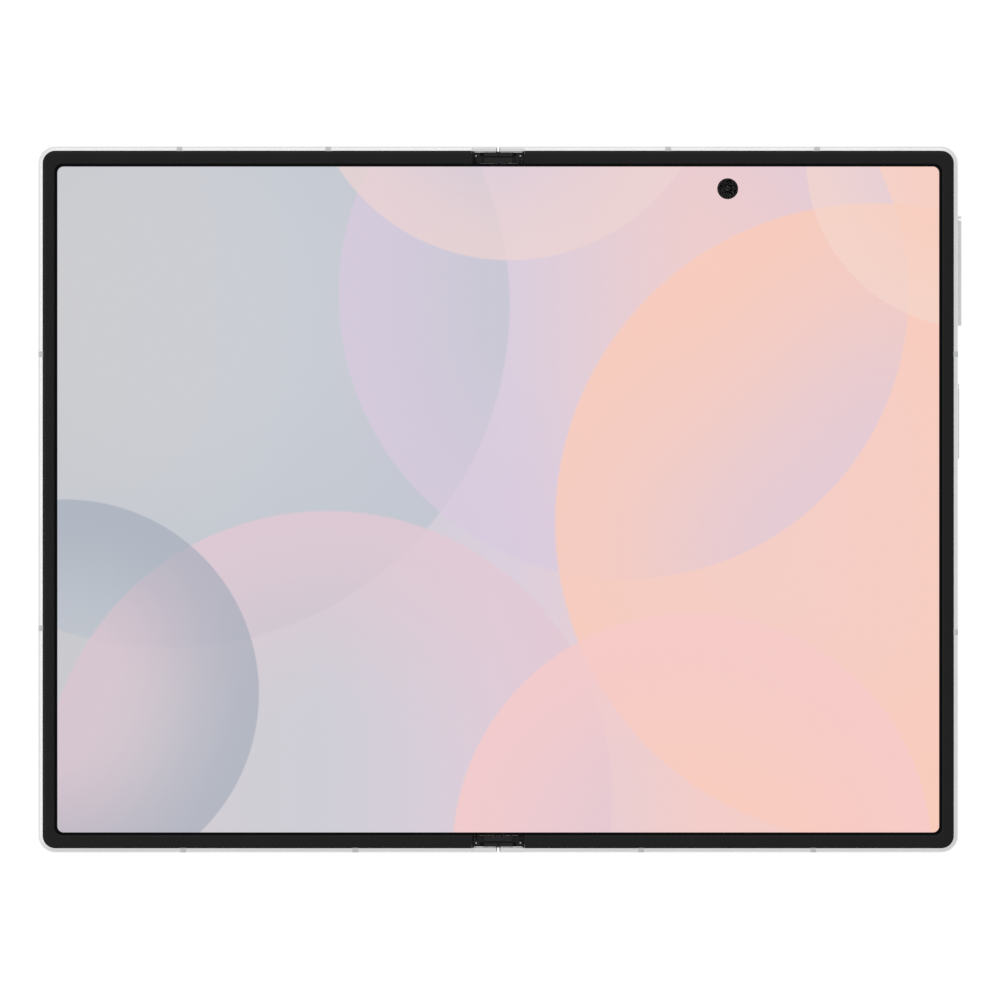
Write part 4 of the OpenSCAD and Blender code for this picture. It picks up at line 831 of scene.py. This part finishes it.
# ---------------------------------------------------------------------------------------------
# Inner camera. A black barrel with a small domed lens stands in the folding screen's hole, and
# the screen's clear film runs on over it as a window.
# ---------------------------------------------------------------------------------------------
camera_low, camera_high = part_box("inner_camera")
camera_middle = (40.28 * MM, 54.55 * MM)
camera_hole_radius = 1.84 * MM
film_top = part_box("display_right")[1].z
film_thickness = 0.1 * MM
barrel_radius = camera_hole_radius - 0.02 * MM
barrel_top = film_top - film_thickness - 0.03 * MM
barrel_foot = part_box("display_right")[0].z - 0.9 * MM
housing_top = barrel_foot + 0.1 * MM
# Steps in the inner camera's barrel: radius, and depth under its top, in millimetres.
inner_steps = ((0.55, 0.75), (0.85, 0.5), (0.85, 0.42), (1.2, 0.2), (1.25, 0.2), (1.45, 0))
inner_lens_radius = 0.6 * MM
inner_rim, inner_crown, inner_foot = (barrel_top - depth * MM for depth in (0.72, 0.5, 1.1))
film_haze = 0.5 * MM

# Polished polyester film: clear, with a soft shine.
clear_film = grained_material("polished_clear_film", film_haze, ("#FBFBFB", "#FFFFFF"), 0.02,
                              {"IOR": 1.45, "Transmission Weight": 1.0})

barrel = lathe("inner_camera_barrel", camera_middle,
               [(radius * MM, barrel_top - depth * MM) for radius, depth in inner_steps]
               + [(barrel_radius, barrel_top), (barrel_radius, barrel_foot), (0, barrel_foot)],
               moulded_black)
place_piece(barrel, "right_half", "black_part", "inner_camera")
lens = lathe("inner_camera_lens", camera_middle, dome(inner_lens_radius, inner_rim, inner_crown) + [
    (inner_lens_radius, inner_foot), (0, inner_foot)], lens_glass)
place_piece(lens, "right_half", "camera_glass")
window = lathe("inner_camera_window", camera_middle, [
    (0, film_top), (camera_hole_radius - window_gap, film_top),
    (camera_hole_radius - window_gap, film_top - film_thickness),
    (0, film_top - film_thickness)], clear_film)
place_piece(window, "right_half", "camera_glass")
housing = bevelled_box("inner_camera_housing", camera_low, (camera_high.x, camera_high.y, housing_top),
                       small_housing_edge, moulded_black)
place_piece(housing, "right_half", "black_part")


# ---------------------------------------------------------------------------------------------
# Folding screen. A thin lit panel under a clear film, black where it meets the bumper. It is
# glued to each half and free over the hinge. It shows large soft pastel discs.
# ---------------------------------------------------------------------------------------------
panel_low, panel_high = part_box("display_right")
fold_half_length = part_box("centre_plate")[1].y
panel_radius = 1.4 * MM
narrow_until = 5.35 * MM
wide_from = 5.4 * MM
bend_step = 0.25 * MM
glued_columns = (6 * MM, 8 * MM, 10 * MM)
glued_steps = 10
corner_turn = 15
row_steps = 16
crease_depth = 0.04 * MM
crease_width = 1.3 * MM
# The picture's sizes, places and radii are in millimetres.
lit_half = (77.38, 58.43)
lit_radius = 1.1
lit_edge = 0.04
pastel_reach = 78
disc_clear = (0.25, 0.15)
disc_rim = (0.995, 1.005)
# The ground of the picture: share of the way across, and colour.
pastel_stops = {0.0: "#D1D0D2", 0.3: "#CDD0D8", 0.52: "#DDD0DE", 0.72: "#F3CFCB", 1.0: "#F9CFC4"}
# Each disc of the picture: middle, radius, colour and strength.
pastel_discs = [
    ((-58, 34), 60, "#BFC6D0", 0.75),
    ((-30, -52), 50, "#E3CAD5", 0.8),
    ((22, 36), 50, "#DACBE0", 0.7),
    ((66, -4), 56, "#FBCDBC", 0.85),
    ((34, -62), 42, "#F8CCCB", 0.8),
    ((-76, -34), 34, "#A6AEBC", 0.7),
    ((2, 78), 36, "#EFD6D4", 0.7),
    ((84, 60), 30, "#F6D9CE", 0.6),
]


def panel_half_length(x):
    """Half the panel's length at a place across it: shorter over the hinge, round at the corners."""
    if x <= narrow_until:
        return fold_half_length
    past = max(x - (panel_high.x - panel_radius), 0)
    return panel_high.y - panel_radius + math.sqrt(max(panel_radius ** 2 - past ** 2, 0))


def panel(name, side, material):
    """One half of the screen, with the picture's millimetres kept as its UV map."""
    round_from = panel_high.x - panel_radius
    columns = [bend_step * k for k in range(int(narrow_until / bend_step) + 1)]
    columns += [narrow_until, wide_from, *glued_columns]
    step = (round_from - columns[-1]) / glued_steps
    columns += [glued_columns[-1] + step * k for k in range(1, glued_steps + 1)]
    columns += [round_from + panel_radius * math.sin(math.radians(a))
                for a in range(corner_turn, 90, corner_turn)]
    rows = [2 * k / row_steps - 1 for k in range(row_steps + 1)]
    rings = []
    for x in columns:
        top = panel_high.z - crease_depth * math.exp(-(x / crease_width) ** 2)
        upper = [(side * x, row * panel_half_length(x), top) for row in rows]
        rings.append(upper + [(px, py, panel_low.z) for px, py, _ in reversed(upper)])
    piece = mesh_object(name, *loft(rings), material)
    picture = piece.data.uv_layers.new(name="picture_mm")
    for loop in piece.data.loops:
        place = piece.data.vertices[loop.vertex_index].co
        picture.data[loop.index].uv = (place.x / MM, place.y / MM)
    return piece


def disc_layer(tree, under, point, middle, radius, colour, strength):
    """One translucent disc of the picture: clear in its middle, fuller towards its edge."""
    away = add(tree, "ShaderNodeVectorMath", {0: point, 1: (*middle, 0)}, operation="DISTANCE")
    share = add(tree, "ShaderNodeMath", {0: away.outputs["Value"], 1: radius}, operation="DIVIDE")
    full = add(tree, "ShaderNodeMapRange", {0: share, 1: disc_clear[0], 2: 1.0, 3: disc_clear[1],
                                            4: strength}, interpolation_type="SMOOTHSTEP")
    edge = add(tree, "ShaderNodeMapRange", {0: share, 1: disc_rim[0], 2: disc_rim[1], 3: 1.0, 4: 0.0},
               interpolation_type="SMOOTHSTEP")
    cover = add(tree, "ShaderNodeMath", {0: full, 1: edge}, operation="MULTIPLY")
    return add(tree, "ShaderNodeMix", {0: cover, 6: under, 7: linear(colour)},
               data_type="RGBA").outputs[2]


# Lit panel under film: even pastel light with a thin black edge, and a faint soft shine over it.
lit_film, tree, place = new_material("lit_panel_under_clear_film")
point = add(tree, "ShaderNodeUVMap", uv_map="picture_mm").outputs[0]
across = add(tree, "ShaderNodeSeparateXYZ", {0: point})
shade = add(tree, "ShaderNodeMapRange", {0: across.outputs["X"], 1: -pastel_reach, 2: pastel_reach})
paint = add(tree, "ShaderNodeValToRGB", {0: shade})
stops = paint.color_ramp.elements
while len(stops) < len(pastel_stops):
    stops.new(0.5)
for stop, (position, colour) in zip(stops, pastel_stops.items()):
    stop.position = position
    stop.color = linear(colour)
picture = paint.outputs["Color"]
for middle, radius, colour, strength in pastel_discs:
    picture = disc_layer(tree, picture, point, middle, radius, colour, strength)
past = past_square_part(tree, point, (0, 0, 0), (lit_half[0] - lit_radius, lit_half[1] - lit_radius, 0))
dark = add(tree, "ShaderNodeMapRange", {0: past, 1: lit_radius - lit_edge, 2: lit_radius + lit_edge})
light = add(tree, "ShaderNodeMix", {0: dark, 6: picture, 7: linear("#000000")}, data_type="RGBA")
shader = add(tree, "ShaderNodeBsdfPrincipled", {
    "Base Color": linear("#050506"), "Roughness": 0.12, "IOR": 1.45, "Specular IOR Level": 0.25,
    "Emission Color": light.outputs[2], "Emission Strength": 0.98})
add(tree, "ShaderNodeOutputMaterial", {"Surface": shader})

for side_name, side in sides.items():
    screen = panel(f"screen_{side_name}", side, lit_film)
    if side_name == "right":
        cut_round_hole(screen, camera_middle, camera_hole_radius, panel_low.z - MM, panel_high.z + MM)
    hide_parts(f"display_{side_name}", "display_fold_zone")
    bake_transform(screen)


# ---------------------------------------------------------------------------------------------
# Bumpers. A soft frame of matt urethane, moulded in one U for each half and glued down over the
# edge of the screen. Its rounded edges keep the two halves from touching when shut.
# ---------------------------------------------------------------------------------------------
bumper_low, bumper_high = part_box("right_bumper")
side_width = 1.96 * MM
end_width = 2.2 * MM
foot_width = 0.62 * MM
outer_radius = 2.13 * MM
inner_radius = 1.4 * MM
outer_shoulder = (0.6 * MM, 0.2 * MM)
inner_shoulder = (0.35 * MM, 0.14 * MM)
end_slant = 0.12 * MM
end_reach = 0.08 * MM
straight_steps = 4
corner_steps = 12
shoulder_steps = 7


def bumper_section(width):
    """Outline of the bumper as (distance in from its outer face, height)."""
    top, low = bumper_high.z, bumper_low.z
    turns = [math.radians(90 * k / shoulder_steps) for k in range(shoulder_steps + 1)]
    outer = [(outer_shoulder[0] * (1 - math.cos(a)), top - outer_shoulder[1] * (1 - math.sin(a)))
             for a in turns]
    inner = [(width - inner_shoulder[0] * (1 - math.sin(a)), top - inner_shoulder[1] * (1 - math.cos(a)))
             for a in turns]
    foot = [(foot_width, panel_high.z), (foot_width, low), (0, low)]
    return foot + outer + inner + [(width, panel_high.z)]


def bumper_path():
    """Outer edge, inner edge and width along the right bumper, from its top end to its side."""
    outer_x, outer_y = bumper_high.x, bumper_high.y
    inner_x, inner_y = outer_x - side_width, outer_y - end_width
    end_x = bumper_low.x - end_reach
    ro, ri = outer_radius, inner_radius
    places = [((end_x + end_slant, outer_y), (end_x, inner_y), end_width)]
    for k in range(1, straight_steps + 1):
        x = end_x + end_slant + (inner_x - ri - end_x - end_slant) * k / straight_steps
        places.append(((x, outer_y), (x, inner_y), end_width))
    for k in range(corner_steps + 1):
        a = math.radians(90 - 90 * k / corner_steps)
        places.append(((outer_x - ro + ro * math.cos(a), outer_y - ro + ro * math.sin(a)),
                       (inner_x - ri + ri * math.cos(a), inner_y - ri + ri * math.sin(a)),
                       end_width + (side_width - end_width) * k / corner_steps))
    return places


def bumper(name, side, material):
    """The U round one half of the screen, mirrored for the left half."""
    upper = bumper_path()
    lower = [((outer[0], -outer[1]), (inner[0], -inner[1]), width)
             for outer, inner, width in reversed(upper)]
    rings = []
    for outer, inner, width in upper + lower:
        outer, inner = Vector(outer), Vector(inner)
        places = [(outer + (inner - outer) * (inward / width), z) for inward, z in bumper_section(width)]
        rings.append([(side * place.x, place.y, z) for place, z in places])
    return mesh_object(name, *loft(rings), material)


for side_name, side in sides.items():
    piece = bumper(f"bumper_{side_name}", side, urethane)
    place_piece(piece, f"{side_name}_half", "bumper", f"{side_name}_bumper")
